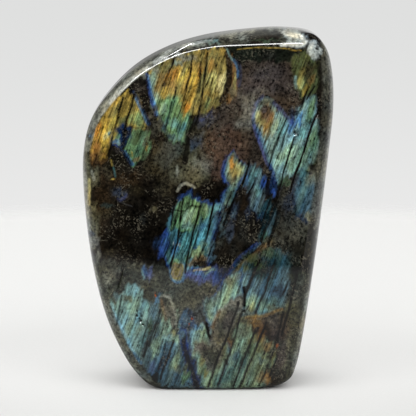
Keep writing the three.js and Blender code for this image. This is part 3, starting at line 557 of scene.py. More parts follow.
# Dark partings along the lamellae and fine cracks: half width, strength, points.
PARTINGS = [
    # gold sheet
    (0.2, 0.75, [(-14, 138), (-14.6, 135), (-15.8, 133), (-17, 130), (-18, 127)]),
    (0.14, 0.6, [(-8.8, 139.6), (-9.1, 135.5), (-10, 131)]),
    (0.2, 0.8, [
        (-6.5, 139.5), (-6.7, 135), (-7.1, 131.5), (-8.5, 128), (-9.1, 124), (-9.9, 121.4), (-10.8, 118.5),
        (-11.7, 116), (-12.7, 113.6)]),
    (0.28, 0.85, [
        (-0.1, 140.4), (-0.5, 135.5), (-1.2, 131), (-1.8, 126), (-2.4, 121.6), (-3.4, 117.6), (-4.7, 113),
        (-5.8, 109)]),
    (0.3, 0.75, [(-2.8, 136.5), (-3, 132), (-3.2, 128), (-3.7, 124.5)]),
    (0.14, 0.6, [(-3.4, 128.3), (-5, 127.1), (-7.1, 125.6)]),
    (0.18, 0.7, [(-5.3, 121.6), (-5.9, 117.4), (-6.8, 114)]),
    (0.8, 0.75, [(-6.4, 114.4), (-7.4, 110.4), (-8.4, 105), (-9, 99), (-9.4, 96)]),
    (0.18, 0.7, [(-13.2, 126), (-13.5, 123.6), (-14.2, 121.6)]),
    (0.16, 0.7, [(-15, 120.4), (-15.6, 116), (-16.5, 112.5), (-17.3, 109)]),
    (0.12, 0.6, [(-13.6, 115.6), (-14.6, 111.5), (-15.6, 108)]),
    (0.12, 0.6, [(-11.2, 112.4), (-12.2, 110.5), (-13, 108)]),
    (0.1, 0.5, [(-17.2, 128.4), (-17.8, 124), (-18.6, 121)]), (0.1, 0.45, [(-12.4, 133.6), (-13, 128), (-13.3, 126)]),
    (0.16, 0.7, [(1.6, 128), (0.7, 124), (0, 120.5), (-1, 118)]), (0.1, 0.45, [(3.3, 137), (3.4, 131)]),
    (0.2, 0.5, [(5.4, 123), (5, 120), (4.8, 115)]),
    # fan
    (0.2, 0.9, [(-30.2, 123.4), (-31.4, 118.6), (-32.7, 114.5), (-33.6, 111), (-34.2, 108)]),
    (0.2, 0.8, [
        (-34.9, 122), (-35.6, 118.5), (-36.6, 115), (-37.6, 112), (-38.6, 108.5), (-39.4, 105), (-40, 101.5),
        (-40.9, 98)]),
    (0.14, 0.7, [(-43.1, 109.8), (-44.1, 106.8), (-45, 104), (-45.3, 102.8)]),
    (0.1, 0.45, [(-42.4, 114), (-43, 111.4), (-44.6, 108)]), (0.1, 0.5, [(-30, 118.5), (-30.8, 114), (-31.6, 111)]),
    (0.2, 0.6, [(-25.7, 101.6), (-26.6, 98.6), (-28, 95)]), (0.25, 0.4, [(-23.3, 104), (-23.8, 98), (-24.4, 92)]),
    (0.08, 0.5, [(-31, 109.8), (-28.6, 109.7), (-25.4, 110.1)]),
    # sea-green sheet and the one under it
    (0.26, 0.95, [
        (46.4, 118.6), (44.7, 114.6), (43, 111), (41.6, 107), (40.4, 103), (39.4, 99.5), (38, 96), (36.6, 92.5),
        (35.2, 89), (34.4, 86), (33.6, 83)]),
    (0.14, 0.8, [(43.9, 126.5), (42, 123.4), (40.4, 121)]),
    (0.2, 0.8, [(41.2, 126), (39.7, 122.5), (38.8, 119.5), (38.1, 116.6)]),
    (0.2, 0.85, [(35.1, 105.4), (34.2, 101.5), (33, 98), (31.8, 94), (30.6, 89.6), (29.8, 86.6), (29, 84)]),
    (0.16, 0.75, [
        (31.8, 112.8), (30.4, 109.6), (29, 106.2), (28, 103.6), (27, 100.6), (26.3, 97.8), (25.4, 95), (24.6, 92.6)]),
    (0.14, 0.7, [(33.1, 110.8), (31.8, 107.5), (30.6, 104), (29.8, 100.4), (28.4, 97)]),
    (0.16, 0.7, [(25.6, 111.2), (24.8, 108), (23.7, 105), (23.1, 102.6)]),
    (0.1, 0.5, [(38.8, 114.6), (38.2, 110), (37.7, 107.6)]),
    # orange eye, blue sheets and black ground
    (0.26, 0.9, [
        (16.8, 96), (16.6, 94), (15.6, 90.8), (14.4, 87.4), (12.8, 84.6), (11, 81), (9.4, 77.6), (7.6, 73.6),
        (6.2, 70)]),
    (0.2, 0.7, [(9.6, 83.6), (8.6, 81), (7.4, 77.6), (6.2, 74), (5, 71)]),
    (0.2, 0.6, [(10.6, 80), (9.4, 76), (7.8, 71), (6.4, 66.6), (5.2, 63)]),
    (0.14, 0.6, [(8.4, 91), (8, 88.4), (9.2, 86.4), (11.4, 86.1)]),
    (0.14, 0.6, [(19.8, 93.6), (18.6, 90), (17.2, 86.6), (16.4, 84)]),
    (0.2, 0.7, [(19.4, 89.4), (18, 85.4), (16.6, 82)]), (0.12, 0.6, [(17.6, 92.4), (16.4, 89)]),
    (0.12, 0.6, [(22.8, 84.6), (22.2, 81), (20.8, 77)]),
    (0.3, 0.8, [(29, 84.4), (28, 80.4), (26.6, 76), (25, 71.4), (23.4, 67), (22, 63)]),
    (0.3, 0.7, [(25.6, 80), (24.2, 76), (22.6, 71.6), (21.4, 68)]),
    (0.4, 0.8, [(29.6, 77), (28.6, 73.6), (27.4, 69.6), (26, 65), (24.8, 61)]),
    (0.4, 0.8, [(22.6, 94.6), (22, 93.4)]), (0.5, 0.75, [(25.6, 92), (25, 89), (24.6, 85), (24.4, 81)]),
    # vivid centre
    (0.24, 0.85, [(2.8, 79.4), (1.8, 76), (1, 72), (0, 67.6), (-0.8, 64), (-2, 60), (-3.4, 56.8), (-4.2, 55.4)]),
    (0.22, 0.85, [
        (-3, 78.8), (-3.8, 75), (-5, 71), (-6, 67.4), (-6.8, 64), (-7.4, 60.6), (-8.4, 57), (-9.2, 53.6),
        (-9.6, 50)]),
    (0.4, 0.7, [(-8.1, 58.6), (-8.8, 55)]), (0.18, 0.75, [(-3.8, 67), (-5, 63.4), (-6.4, 59.4), (-7.6, 56)]),
    (0.24, 0.85, [
        (-10.2, 80.6), (-10.9, 76), (-11.4, 71), (-11.8, 67), (-12.6, 62.6), (-13.6, 58.6), (-14.8, 54.6),
        (-15.6, 52)]),
    (0.2, 0.7, [(-11.6, 79.6), (-12.6, 75.4), (-13.4, 71), (-14.2, 67.6)]),
    (0.18, 0.75, [(-13.4, 80), (-14.4, 75.6), (-14.9, 71), (-15.1, 67.4)]),
    (0.14, 0.6, [(-15, 66), (-15.8, 62), (-17.2, 58), (-18, 55.6)]),
    (0.12, 0.6, [(-13.8, 61.4), (-15.2, 58), (-16.6, 54.8)]),
    (0.16, 0.7, [(-14.4, 76), (-11.6, 75.6), (-9.4, 75.8), (-7.8, 77), (-6.6, 78), (-4.6, 77.4), (-3, 77.6)]),
    (0.18, 0.6, [(-6, 82), (-6.4, 79), (-6.2, 77.6)]), (0.12, 0.6, [(-10.4, 58), (-11.2, 54.6), (-12, 52)]),
    (0.12, 0.5, [(-8.4, 66), (-9.6, 61)]), (0.2, 0.6, [(-8.4, 67.4), (-10.4, 66.6), (-12, 67)]),
    (0.2, 0.6, [(5.4, 76), (4.2, 71), (2.8, 66), (1.2, 61.6), (0.2, 57)]),
    # lower right
    (0.29, 0.9, [(21.6, 55.6), (19.8, 51.6), (18.4, 48.2), (16.6, 43.6), (15.4, 40)]),
    (0.21, 0.8, [(25, 48), (23.4, 42.4), (21.4, 37.6), (19.6, 32.8)]),
    (0.12, 0.6, [(24.4, 39), (23.2, 35.6), (22, 32)]), (0.19, 0.7, [(27.8, 55.4), (26.2, 50), (24.9, 46.4)]),
    (0.19, 0.7, [(33, 46), (31.6, 42), (30, 39)]),
    (0.27, 0.75, [(36.6, 49), (35.6, 44), (34.6, 39), (33.4, 34), (32, 29), (30.4, 23.6)]),
    (0.35, 0.8, [(14.9, 43.6), (15.1, 39.6), (15, 36)]), (0.12, 0.6, [(13.6, 46), (12.8, 43.4), (12, 41)]),
    (0.12, 0.6, [(6, 44.6), (5.2, 41), (4.4, 37), (3.6, 34)]),
    (0.23, 0.85, [(12.6, 37.6), (11.4, 33), (9.8, 29), (8.4, 25), (7.2, 21.6)]),
    (0.23, 0.8, [(14, 33.6), (12.6, 29), (11.6, 25), (10.4, 20), (9, 16), (7.6, 12), (5.8, 7), (3.8, 1.6)]),
    (0.27, 0.9, [(20.6, 27), (18.8, 23.4), (17.2, 19.6), (15.2, 14.6), (13.4, 9.6), (11.6, 5), (10.4, 1)]),
    (0.25, 0.9, [(24, 29), (22.4, 24.6), (20.6, 20), (18.6, 14.6), (16.4, 9.6), (14.6, 5), (13, 1)]),
    (0.21, 0.75, [(31.4, 33), (29.8, 27), (28.2, 21), (26.6, 16), (25, 11.4), (22.8, 6), (21, 1.6)]),
    (0.19, 0.6, [(28.6, 15), (27, 10), (25.4, 5.6)]),
    (0.23, 0.85, [(7.4, 21.6), (5.6, 17.6), (4.2, 14), (3, 10), (1.6, 6), (0.2, 1.6)]),
    (0.35, 0.7, [(7.4, 13.4), (8, 11.4)]), (0.1, 0.55, [(13.4, 15.4), (11.4, 11), (9.6, 6)]),
    (0.12, 0.55, [(21.6, 11), (19.6, 6), (17.8, 1.8)]),
    (0.35, 0.9, [(-0.6, 28.6), (0.1, 26), (0.2, 24.4), (1, 22.4)]),
    # lower left
    (0.26, 0.6, [(-35, 54), (-35.8, 49), (-37, 45)]),
    (0.18, 0.7, [(-35.4, 40), (-36.2, 36), (-37.2, 32), (-38, 27.6)]),
    (0.1, 0.5, [(-27.4, 41), (-28.4, 37.6), (-29.4, 34)]),
    (0.16, 0.6, [(-24.9, 29), (-26.2, 23.6), (-27.8, 17.6), (-29, 13)]),
    (0.26, 0.8, [(-24.8, 21), (-25.6, 17.6), (-26.6, 14.4)]),
    (0.22, 0.75, [(-19.8, 34), (-20.8, 30), (-22.2, 26), (-23.4, 22.6), (-24.4, 19)]),
    (0.14, 0.6, [(-17.2, 22), (-18.2, 18), (-19.4, 13.6), (-20.6, 9)]),
    (0.2, 0.75, [(-14, 21.4), (-15.6, 17.4), (-17, 13.4), (-18.4, 9), (-19.6, 5)]),
    (0.12, 0.55, [(-12.6, 25.6), (-13.8, 22), (-14.6, 20)]), (0.12, 0.55, [(-10.6, 12.4), (-12, 8.4), (-13.6, 3.6)]),
    (0.14, 0.5, [(-15, 12), (-16.6, 7), (-17.8, 3.4)]), (0.12, 0.6, [(-12.2, 31), (-12.6, 28), (-12.6, 25)]),
    (0.2, 0.4, [(-3.6, 34), (-2, 31), (-0.6, 28.6)]),
]

RIM = [
    # left edge, from the shoulder down
    Stroke("smoke", 1.9, [
        (-50.4, 101), (-48, 110.8), (-43.6, 118.2), (-38.4, 124.8), (-31.6, 130.9), (-24.6, 135.8),
        (-16.8, 140)], 0.5, 0.95),
    Glaze((0.7, 0.72, 0.7), -36.6, 124.4, 4, 2.6, -40), Glaze((0.7, 0.72, 0.72), -20.6, 136.6, 5, 2.6, -25),
    # the pale strokes along the shoulder's crease and the top-left crease are partly pale feldspar and partly a
    # painted highlight, where the polish catches the light
    Stroke("bone", 0.8, [(-42.8, 117), (-40.2, 120.3), (-34.8, 126.3), (-29, 131.2), (-23.4, 134.8)], 0.7, 0.85),
    Stroke("chalk", 0.45, [(-40.4, 119.9), (-35.4, 125.4), (-29, 131), (-24.6, 134)], 0.6, 0.4),
    Stroke("chalk", 0.6, [(-21.4, 136.4), (-16.2, 138.7), (-12.6, 139.7)], 0.6, 0.75),
    Stroke("stone", 0.3, [(-47.4, 113), (-42.8, 120.6), (-36, 127.4), (-28.8, 133.4), (-20.4, 138.9)], 0.6, 0.6),
    Stroke("ash", 0.15, [(-46, 113.6), (-43.4, 117.4), (-41.4, 118.2)], 0.4, 0.55),
    Stroke("ash", 0.15, [(-38.2, 125.2), (-34.6, 127.4), (-32.6, 127.8)], 0.4, 0.5),
    Stroke("ash", 0.2, [(-26.6, 134.4), (-24, 134.8), (-22.6, 135.2)], 0.5, 0.5),
    Stroke("bone", 0.2, [(-46.2, 110.2), (-44.2, 114), (-42, 116.6)], 0.4, 0.8),
    ("slate", -48.8, 105.6, 1.1, 2.6, 0.6, 5), ("azure", -48.4, 105.4, 0.5, 0.7, 0.7),
    ("umber", -45.8, 95.6, 1.3, 2.4, 0.8),
    # the pale strokes along the left edge are partly grey-beige feldspar and partly a painted reflection of the pale
    # room
    Stroke("khaki", 1.6, [(-50.6, 97), (-51, 86), (-50.2, 72), (-48.8, 60)], 1.2, 0.85),
    Stroke("bone", 0.7, [(-51, 90), (-50.6, 80), (-49.8, 70), (-48.8, 60)], 0.8, 0.7),
    Stroke("straw", 0.3, [(-48.6, 87.6), (-49.2, 82.6), (-49.2, 77.4)], 0.5, 0.6),
    Stroke("bone", 0.3, [(-47.6, 91), (-46.8, 88)], 0.6, 0.4),
    ("khaki", -48, 73.6, 1.8, 3.4, 0.6), ("slate", -48.2, 65.4, 1.8, 1.6, 0.75),
    ("clay", -46.6, 62, 1.6, 3, 0.85, 10), ("bone", -45.6, 56.6, 1, 2.4, 0.45, 15),
    Stroke("stone", 1.9, [(-47.6, 54), (-44.6, 42), (-40.8, 30.6), (-36, 19.6), (-30.6, 10), (-25.4, 4.6)], 0.9, 0.8),
    Stroke("smoke", 0.9, [(-48.4, 52), (-45.8, 42), (-42.2, 30.4), (-38, 20), (-33, 11), (-28.6, 5.4)], 1.2, 0.7),
    Stroke("smoke", 0.7, [(-42, 37), (-40, 31), (-35.4, 20.6), (-29.6, 10), (-24.4, 4.4)], 1.2, 0.35),
    # painted shade: a dark line along the foot, where the stone meets the table
    Stroke("soot", 1, [(-27, 3.4), (-20, 0.2), (-6, -0.8), (14, -0.8), (30, 0.4)], 0.8, 0.5),
    # right edge: a grey rounding, darker on its inner side as painted shade, with a painted soft highlight along its
    # outer edge
    Stroke("stone", 2.2, [(48.6, 138), (49.2, 128), (49.2, 116), (47.8, 98), (46, 82), (45, 74)], 0.9, 0.9),
    Stroke("soot", 0.7, [(45.2, 137), (46, 128), (46.4, 118), (46, 106)], 1.0, 0.6),
    Stroke("smoke", 0.5, [(51.2, 132), (51.4, 117), (49.8, 99), (47.4, 80), (45.4, 64)], 1.0, 0.7),
    Stroke("soot", 1.6, [(43.4, 68), (41.2, 58), (40.2, 52)], 1.0, 0.75),
    Stroke("stone", 1.4, [(39.6, 44), (38, 32), (36, 20), (34, 8)], 1.2, 0.8),
    Stroke("bone", 0.9, [(42.2, 39), (41.2, 32), (38.8, 19), (36.6, 8)], 1.8, 0.75),
    ("bone", 44.6, 68, 0.7, 1.8, 0.4, 5),
    # top edge: a pale band, dark in the middle, with grey-green ground below the crease, and painted highlights along
    # its creases
    Patch("ash", [
        (-17, 139), (-8, 141), (1, 142.4), (9.4, 143), (24, 143.4), (38, 143), (40, 145), (36, 152), (14, 153),
        (-4, 149), (-16, 143)], 0.5, 0),
    Patch("smoke", [
        (-19, 139.4), (-10, 143), (-2, 145.6), (8, 147), (14, 147.2), (20, 147.8), (30, 148.2), (36, 149), (34, 153),
        (14, 155), (-4, 151), (-18, 144)], 0.7, 0),
    # painted highlight: pale strokes along the upper crease on the left, where the polish catches the light
    Stroke("smoke", 0.5, [(-18, 139.8), (-10, 142.2), (-2, 143.6)], 0.7, 0.85),
    Stroke("chalk", 0.3, [(-17.6, 140), (-10, 142.8), (-3, 144.6), (1.6, 144.9)], 0.5, 0.5),
    Stroke("ash", 0.25, [(-14, 141), (-6, 142.4), (0, 142.8)], 0.5, 0.5),
    ("stone", 4, 144.6, 7, 1.3, 0.8), ("mist", 2, 144.8, 3.4, 0.6, 0.6), ("bone", 12.6, 147.6, 4.6, 1.2, 0.85),
    ("stone", 14, 146.6, 4, 0.5, 0.6), ("smoke", 13, 145.8, 3.6, 0.6, 0.7), ("stone", 13, 144.4, 6, 0.8, 0.7),
    Stroke("soot", 0.55, [(18, 144.9), (22, 145.2), (26, 146.2), (29, 145.9), (30, 145)], 0.8, 0.95),
    ("pine", 24, 144.6, 7, 0.5, 0.5), ("stone", 31, 145, 2, 0.8, 0.8),
    # blue-white feldspar at the corner, partly a painted reflection of the light on its facets
    Patch("frost", [
        (30.6, 148), (33, 145.8), (32.4, 143.6), (36, 142.8), (40, 142.9), (41.4, 144.6), (40.6, 147),
        (36, 148.8)], 0.8, 0),
    ("ash", 35.4, 145.6, 1.6, 0.8, 0.5, -30),
    # painted highlight: white strokes along the corner's creases, where the polish catches the light
    Stroke("chalk", 0.45, [(31.6, 148), (34, 147.2), (37.6, 146.6), (40, 145), (41.4, 144.5)], 0.7, 0.85),
    Stroke("chalk", 0.4, [(30, 143.3), (33.8, 143.5), (37.4, 143.2), (39.6, 144.2)], 0.6, 0.9),
    ("ash", 40.6, 142.4, 0.9, 1.4, 0.8, -30),
    Patch("frost", [
        (41.2, 144.4), (42.4, 145.6), (44.6, 145), (46, 142.6), (46.4, 140), (44.8, 137.8), (42.6, 138.8),
        (41.2, 141.6)], 0.7, 0),
    ("chalk", 42.8, 143.2, 1, 1.8, 0.5), ("ash", 45.6, 143.9, 0.8, 0.7, 0.7),
    Stroke("ink", 0.16, [(39.8, 146.4), (41.4, 145.2), (42.8, 145.6), (45, 145)], 0.4, 0.75),
    Stroke("ink", 0.2, [(41.6, 145), (40.9, 143.4), (40.4, 141.8)], 0.5, 0.75),
    Stroke("ink", 0.1, [(42.6, 143.3), (44.2, 143.2), (45.4, 141.8), (45, 140)], 0.3, 0.6),
    ("ink", 44.9, 141.9, 0.6, 0.4, 0.85, 30),
    Stroke("smoke", 0.8, [(47.6, 143.6), (49.4, 139.6), (50, 134)], 1.0, 0.6),
    Stroke("honey", 0.08, [(12, 141.8), (20, 142.3), (27, 142.2), (33, 141.7), (38.2, 140.9)], 0.3, 0.55),
    Stroke("gold", 0.08, [(31, 141.9), (34, 141.6), (36.4, 141.2)], 0.25, 0.45),
]

# The back's own ground. The front's sheets go on through the stone, and lie on it turned half round in its plane.
BACK_TURN = (4, 146)  # what the places of a mark on the front and on the back add up to
BACK_GROUND = [
    Patch("bark", [(-50, 120), (-20, 128), (4, 150), (52, 150), (50, 96), (30, 96), (6, 100), (-14, 112)], 5, 0.25),
    Patch("ink", [
        (-55, 92), (-30, 98), (-6, 84), (20, 96), (55, 88), (50, 56), (14, 50), (-14, 44), (-55, 50)], 5, 0.2),
    ("stone", 10, 26, 22, 20, 0.7), ("khaki", -30, 130, 12, 8, 0.5),
]

# Small hollows: x, z, radius, depth. Cracks: half width, depth, points.
PITS = [
    (-29.3, 33.6, 0.55, 0.5), (-29.4, 31.6, 0.6, 0.6), (-28.5, 30.6, 0.5, 0.5), (-27.8, 29.6, 0.7, 0.7),
    (-27, 28, 0.55, 0.6), (-27.4, 31.6, 0.4, 0.4), (-31.3, 27.3, 0.4, 0.4), (-28.2, 32.6, 0.35, 0.3),
    (35.6, 107.7, 0.8, 0.9), (36, 107, 0.5, 0.6), (44.9, 141.7, 0.7, 0.5), (30.4, 125.8, 0.6, 0.25),
    (28, 125.3, 0.4, 0.2), (15, 33.8, 0.9, 0.3), (22, 94, 0.5, 0.3), (-11.5, 61.6, 0.5, 0.2), (32.8, 40.6, 0.4, 0.2),
    (-41, 43, 0.4, 0.3),
]
CRACKS = [
    (0.3, 0.4, [(45.8, 118.6), (44.7, 114.8), (43, 111), (41.6, 107), (40.4, 103), (39.4, 99.5)]),
    (0.2, 0.3, [(39.4, 99.5), (38, 96), (36.6, 92.5), (35.2, 89), (34.4, 86), (33.8, 83.6)]),
    (0.16, 0.25, [(40.2, 123.4), (39.2, 120.6), (38.4, 117.6)]), (0.3, 0.4, [(14.8, 43.6), (15.1, 39.6), (15, 36.2)]),
    (0.25, 0.3, [(-0.6, 28.4), (0.1, 26), (0.2, 24.4), (1, 22.6)]),
    (0.14, 0.2, [(34.6, 103.4), (33, 98), (31.8, 94)]), (0.14, 0.2, [(-35.2, 50.4), (-36.2, 46.6), (-37.2, 43.8)]),
    (0.16, 0.2, [(-30.8, 121.4), (-31.8, 117.4), (-32.8, 114)]),
    (0.14, 0.2, [(-37, 78.8), (-34, 77.4), (-31.6, 76.8)]),
]


# ---------------------------------------------------------------- what a user would change
def tint(name, description, *shades):
    """A colour setting, from red, green and blue out of 255."""
    return FloatVectorProperty(name=name, description=description, subtype="COLOR_GAMMA", size=3, min=0, max=1,
                               default=[shade / 255 for shade in shades])


def length(name, description, default, low, high):
    """A setting for a length in metres."""
    return FloatProperty(name=name, description=description, subtype="DISTANCE", unit="LENGTH", default=default,
                         min=low, max=high)


def power(name, description, default):
    """A setting for the power of a light in watts."""
    return FloatProperty(name=name, description=description, default=default, min=0)


class StoneBody(PropertyGroup):
    """Tints of the stone where it shows no flash."""
    ink: tint("Ink", "Deepest, almost black ground", 12, 10, 7)
    soot: tint("Soot", "Dark ground", 26, 23, 18)
    umber: tint("Umber", "Dark warm ground", 42, 32, 20)
    russet: tint("Russet", "Red-brown ground", 74, 54, 43)
    loam: tint("Loam", "Olive-brown ground", 50, 46, 34)
    bark: tint("Bark", "Brown ground", 55, 48, 41)
    taupe: tint("Taupe", "Grey-brown ground", 66, 60, 58)
    bottle: tint("Bottle", "Green-black ground", 24, 28, 22)
    slate: tint("Slate", "Blue-grey ground", 42, 50, 62)
    ash: tint("Ash", "Dark grey ground", 42, 43, 39)
    stone: tint("Stone", "Mid grey ground", 66, 67, 59)
    clay: tint("Clay", "Grey-beige haze", 98, 96, 86)
    khaki: tint("Khaki", "Olive-grey feldspar", 88, 86, 66)
    smoke: tint("Smoke", "Light grey feldspar", 122, 124, 112)
    # bone, frost and chalk are pale feldspar, and are also laid along the rim as painted highlights and reflections
    bone: tint("Bone", "Pale cream feldspar", 152, 152, 136)
    frost: tint("Frost", "Blue-white feldspar", 158, 170, 172)
    chalk: tint("Chalk", "White feldspar", 206, 209, 200)


class StoneFlash(PropertyGroup):
    """Tints of the flash, from the thin edge of a sheet to its thick middle."""
    navy: tint("Navy", "Blue-black edge", 20, 36, 60)
    violet: tint("Violet", "Edge of the flash", 66, 74, 112)
    royal: tint("Royal Blue", "Deep blue edge", 34, 56, 104)
    azure: tint("Azure", "Clear blue", 64, 104, 138)
    sky: tint("Sky", "Pale blue", 114, 154, 168)
    cyan: tint("Cyan", "Blue-green", 98, 150, 152)
    mist: tint("Mist", "Grey sea-green", 100, 128, 126)
    steel: tint("Steel", "Grey-blue", 70, 92, 100)
    teal: tint("Teal", "Dull blue-green", 62, 98, 100)
    deepteal: tint("Deep Teal", "Dark blue-green", 28, 54, 60)
    sage: tint("Sage", "Grey-green", 118, 142, 120)
    green: tint("Green", "Leaf green", 92, 124, 86)
    pine: tint("Pine", "Dull dark green", 50, 68, 52)
    moss: tint("Moss", "Dark green", 62, 70, 44)
    lime: tint("Lime", "Yellow-green", 158, 158, 100)
    straw: tint("Straw", "Pale yellow", 196, 186, 128)
    brass: tint("Brass", "Dull gold", 126, 110, 58)
    olive: tint("Olive", "Brown-green gold", 104, 98, 58)
    gold: tint("Gold", "Yellow gold", 186, 158, 68)
    honey: tint("Honey", "Deep gold", 146, 124, 58)
    amber: tint("Amber", "Orange", 154, 106, 42)
    rust: tint("Rust", "Red-orange", 156, 76, 28)
    copper: tint("Copper", "Brown gold", 108, 80, 46)
    sienna: tint("Sienna", "Red-brown edge", 92, 68, 50)


class StoneFinish(PropertyGroup):
    """How the stone is cut, marked and polished."""
    face_step: length("Front Detail", "Distance between mesh points on the front face", 0.00047, 0.0003, 0.004)
    side_step: length("Side Detail", "Distance between mesh points on the sides and back", 0.0012, 0.0005, 0.006)
    swell: length("Hand Polish", "Height of the slow waves that polishing by hand leaves", 0.00008, 0, 0.001)
    lamella: length("Lamella Spacing", "Usual distance between the dark lamella lines", 0.0026, 0.0005, 0.02)
    glow: FloatProperty(name="Flash Strength", description="How bright the flash is", default=1, min=0, max=2)
    seed: IntProperty(name="Seed", description="Changes the small random variation", default=7, min=0)


class StageSettings(PropertyGroup):
    """Table, lights and camera."""
    table_radius: length("Table Radius", "Radius of the pale table top", 0.5, 0.2, 5)
    key_power: power("Key Light", "Power of the main soft light", 14)
    fill_power: power("Fill Light", "Power of the fill light and of the back light", 5.5)
    top_power: power("Top Light", "Power of the overhead soft light", 5)
    edge_power: power("Edge Light", "Power of the narrow light that lines the front edge", 44)
    crest_power: power("Crest Light", "Power of the narrow light that lines the top edge", 5.4)
    elevation: FloatProperty(name="Camera Elevation", description="Height of the camera above level",
                             subtype="ANGLE", unit="ROTATION", default=math.radians(9), min=0, max=1.5)
    distance: length("Camera Distance", "From the camera to the middle of the stone", 1, 0.3, 5)
    lens: FloatProperty(name="Lens", description="Focal length in millimetres", default=206, min=20, max=400)


# ---------------------------------------------------------------- number helpers
def smoothstep(low, high, value):
    """Rises smoothly from 0 at low to 1 at high."""
    t = np.clip((value - low) / (high - low), 0, 1)
    return t * t * (3 - 2 * t)


def to_linear(colour):
    """The standard curve from screen values to linear light."""
    c = np.asarray(colour, float)
    return np.where(c <= 0.04045, c / 12.92, ((c + 0.055) / 1.055) ** 2.4)


def by_lamella(x, z):
    """A place as its distances across and along the lamellae."""
    return x * math.cos(LEAN) - z * math.sin(LEAN), x * math.sin(LEAN) + z * math.cos(LEAN)


class Noise:
    """Smooth repeatable noise, mostly between -1 and 1, over points in space."""
    gain = 1.6  # smoothing the lattice flattens it by about this much
    shift = 7.3  # moves each octave, so that their lattices don't line up

    def __init__(self, seed, size=32):
        self.size = size
        self.lattice = np.random.default_rng(seed).uniform(-1, 1, (size, size, size))

    def __call__(self, points, scale, octaves=1):
        total, weight, norm = 0, 1.0, 0.0
        for octave in range(octaves):
            total = total + weight * self._layer(points / scale * 2 ** octave + self.shift * octave)
            norm += weight
            weight *= 0.5
        return total / norm

    def _layer(self, p):
        cell = np.floor(p).astype(int)
        t = smoothstep(0, 1, p - cell)
        value = 0
        for corner in np.ndindex(2, 2, 2):
            x, y, z = (t[:, n] if far else 1 - t[:, n] for n, far in enumerate(corner))
            i, j, k = ((cell + corner) % self.size).T
            value = value + x * y * z * self.lattice[i, j, k]
        return value * self.gain


def closed_curve(points, steps):
    """A smooth closed curve through the points, with so many steps from each to the next."""
    p = np.asarray(points, float)
    a, b, c, d = (np.roll(p, n, axis=0) for n in (1, 0, -1, -2))
    gap = [np.maximum(np.sum((q - r) ** 2, axis=1), 1e-9)[:, None] ** 0.25 for q, r in ((b, a), (c, b), (d, c))]
    t1 = ((b - a) / gap[0] - (c - a) / (gap[0] + gap[1]) + (c - b) / gap[1]) * gap[1]
    t2 = ((c - b) / gap[1] - (d - b) / (gap[1] + gap[2]) + (d - c) / gap[2]) * gap[1]
    t = (np.arange(steps) / steps)[None, :, None]
    b, c, t1, t2 = (q[:, None, :] for q in (b, c, t1, t2))
    curve = b + t1 * t + (-3 * b + 3 * c - 2 * t1 - t2) * t ** 2 + (2 * b - 2 * c + t1 + t2) * t ** 3
    return curve.reshape(-1, 2)


def distance_to(x, z, points, closed=False):
    """Distance from each place to a run of straight pieces."""
    p = np.asarray(points, float)
    q = np.roll(p, -1, axis=0) if closed else p[1:]
    p = p if closed else p[:-1]
    best = np.full(x.shape, 1e9)
    for (px, pz), (qx, qz) in zip(p, q):
        dx, dz = qx - px, qz - pz
        t = np.clip(((x - px) * dx + (z - pz) * dz) / (dx * dx + dz * dz + 1e-12), 0, 1)
        best = np.minimum(best, (x - px - t * dx) ** 2 + (z - pz - t * dz) ** 2)
    return np.sqrt(best)


def inside(x, z, points):
    """True where a place is inside the closed outline."""
    p = np.asarray(points, float)
    result = np.zeros(x.shape, bool)
    for (px, pz), (qx, qz) in zip(p, np.roll(p, -1, axis=0)):
        if pz != qz:
            crosses = (pz > z) != (qz > z)
            result ^= crosses & (x < px + (z - pz) * (qx - px) / (qz - pz))
    return result


# ---------------------------------------------------------------- the stone's surface (mm)
def dome_depth(dome, x, z):
    """How far back the dome stands at a place on it."""
    return (dome["depth"] + (x - dome["x"]) ** 2 / (2 * dome["radius_x"])
            + (z - dome["z"]) ** 2 / (2 * dome["radius_z"]))


def towards(sizes, spoke):
    """Passes smoothly from one stated size to the next, round the middle of the stone."""
    side = np.where(spoke[:, 0] > 0, sizes["right"], sizes["left"])
    end = np.where(spoke[:, 1] > 0, sizes["up"], sizes["down"])
    return (side * spoke[:, 0] ** 2 + end * spoke[:, 1] ** 2) / np.sum(spoke ** 2, axis=1)


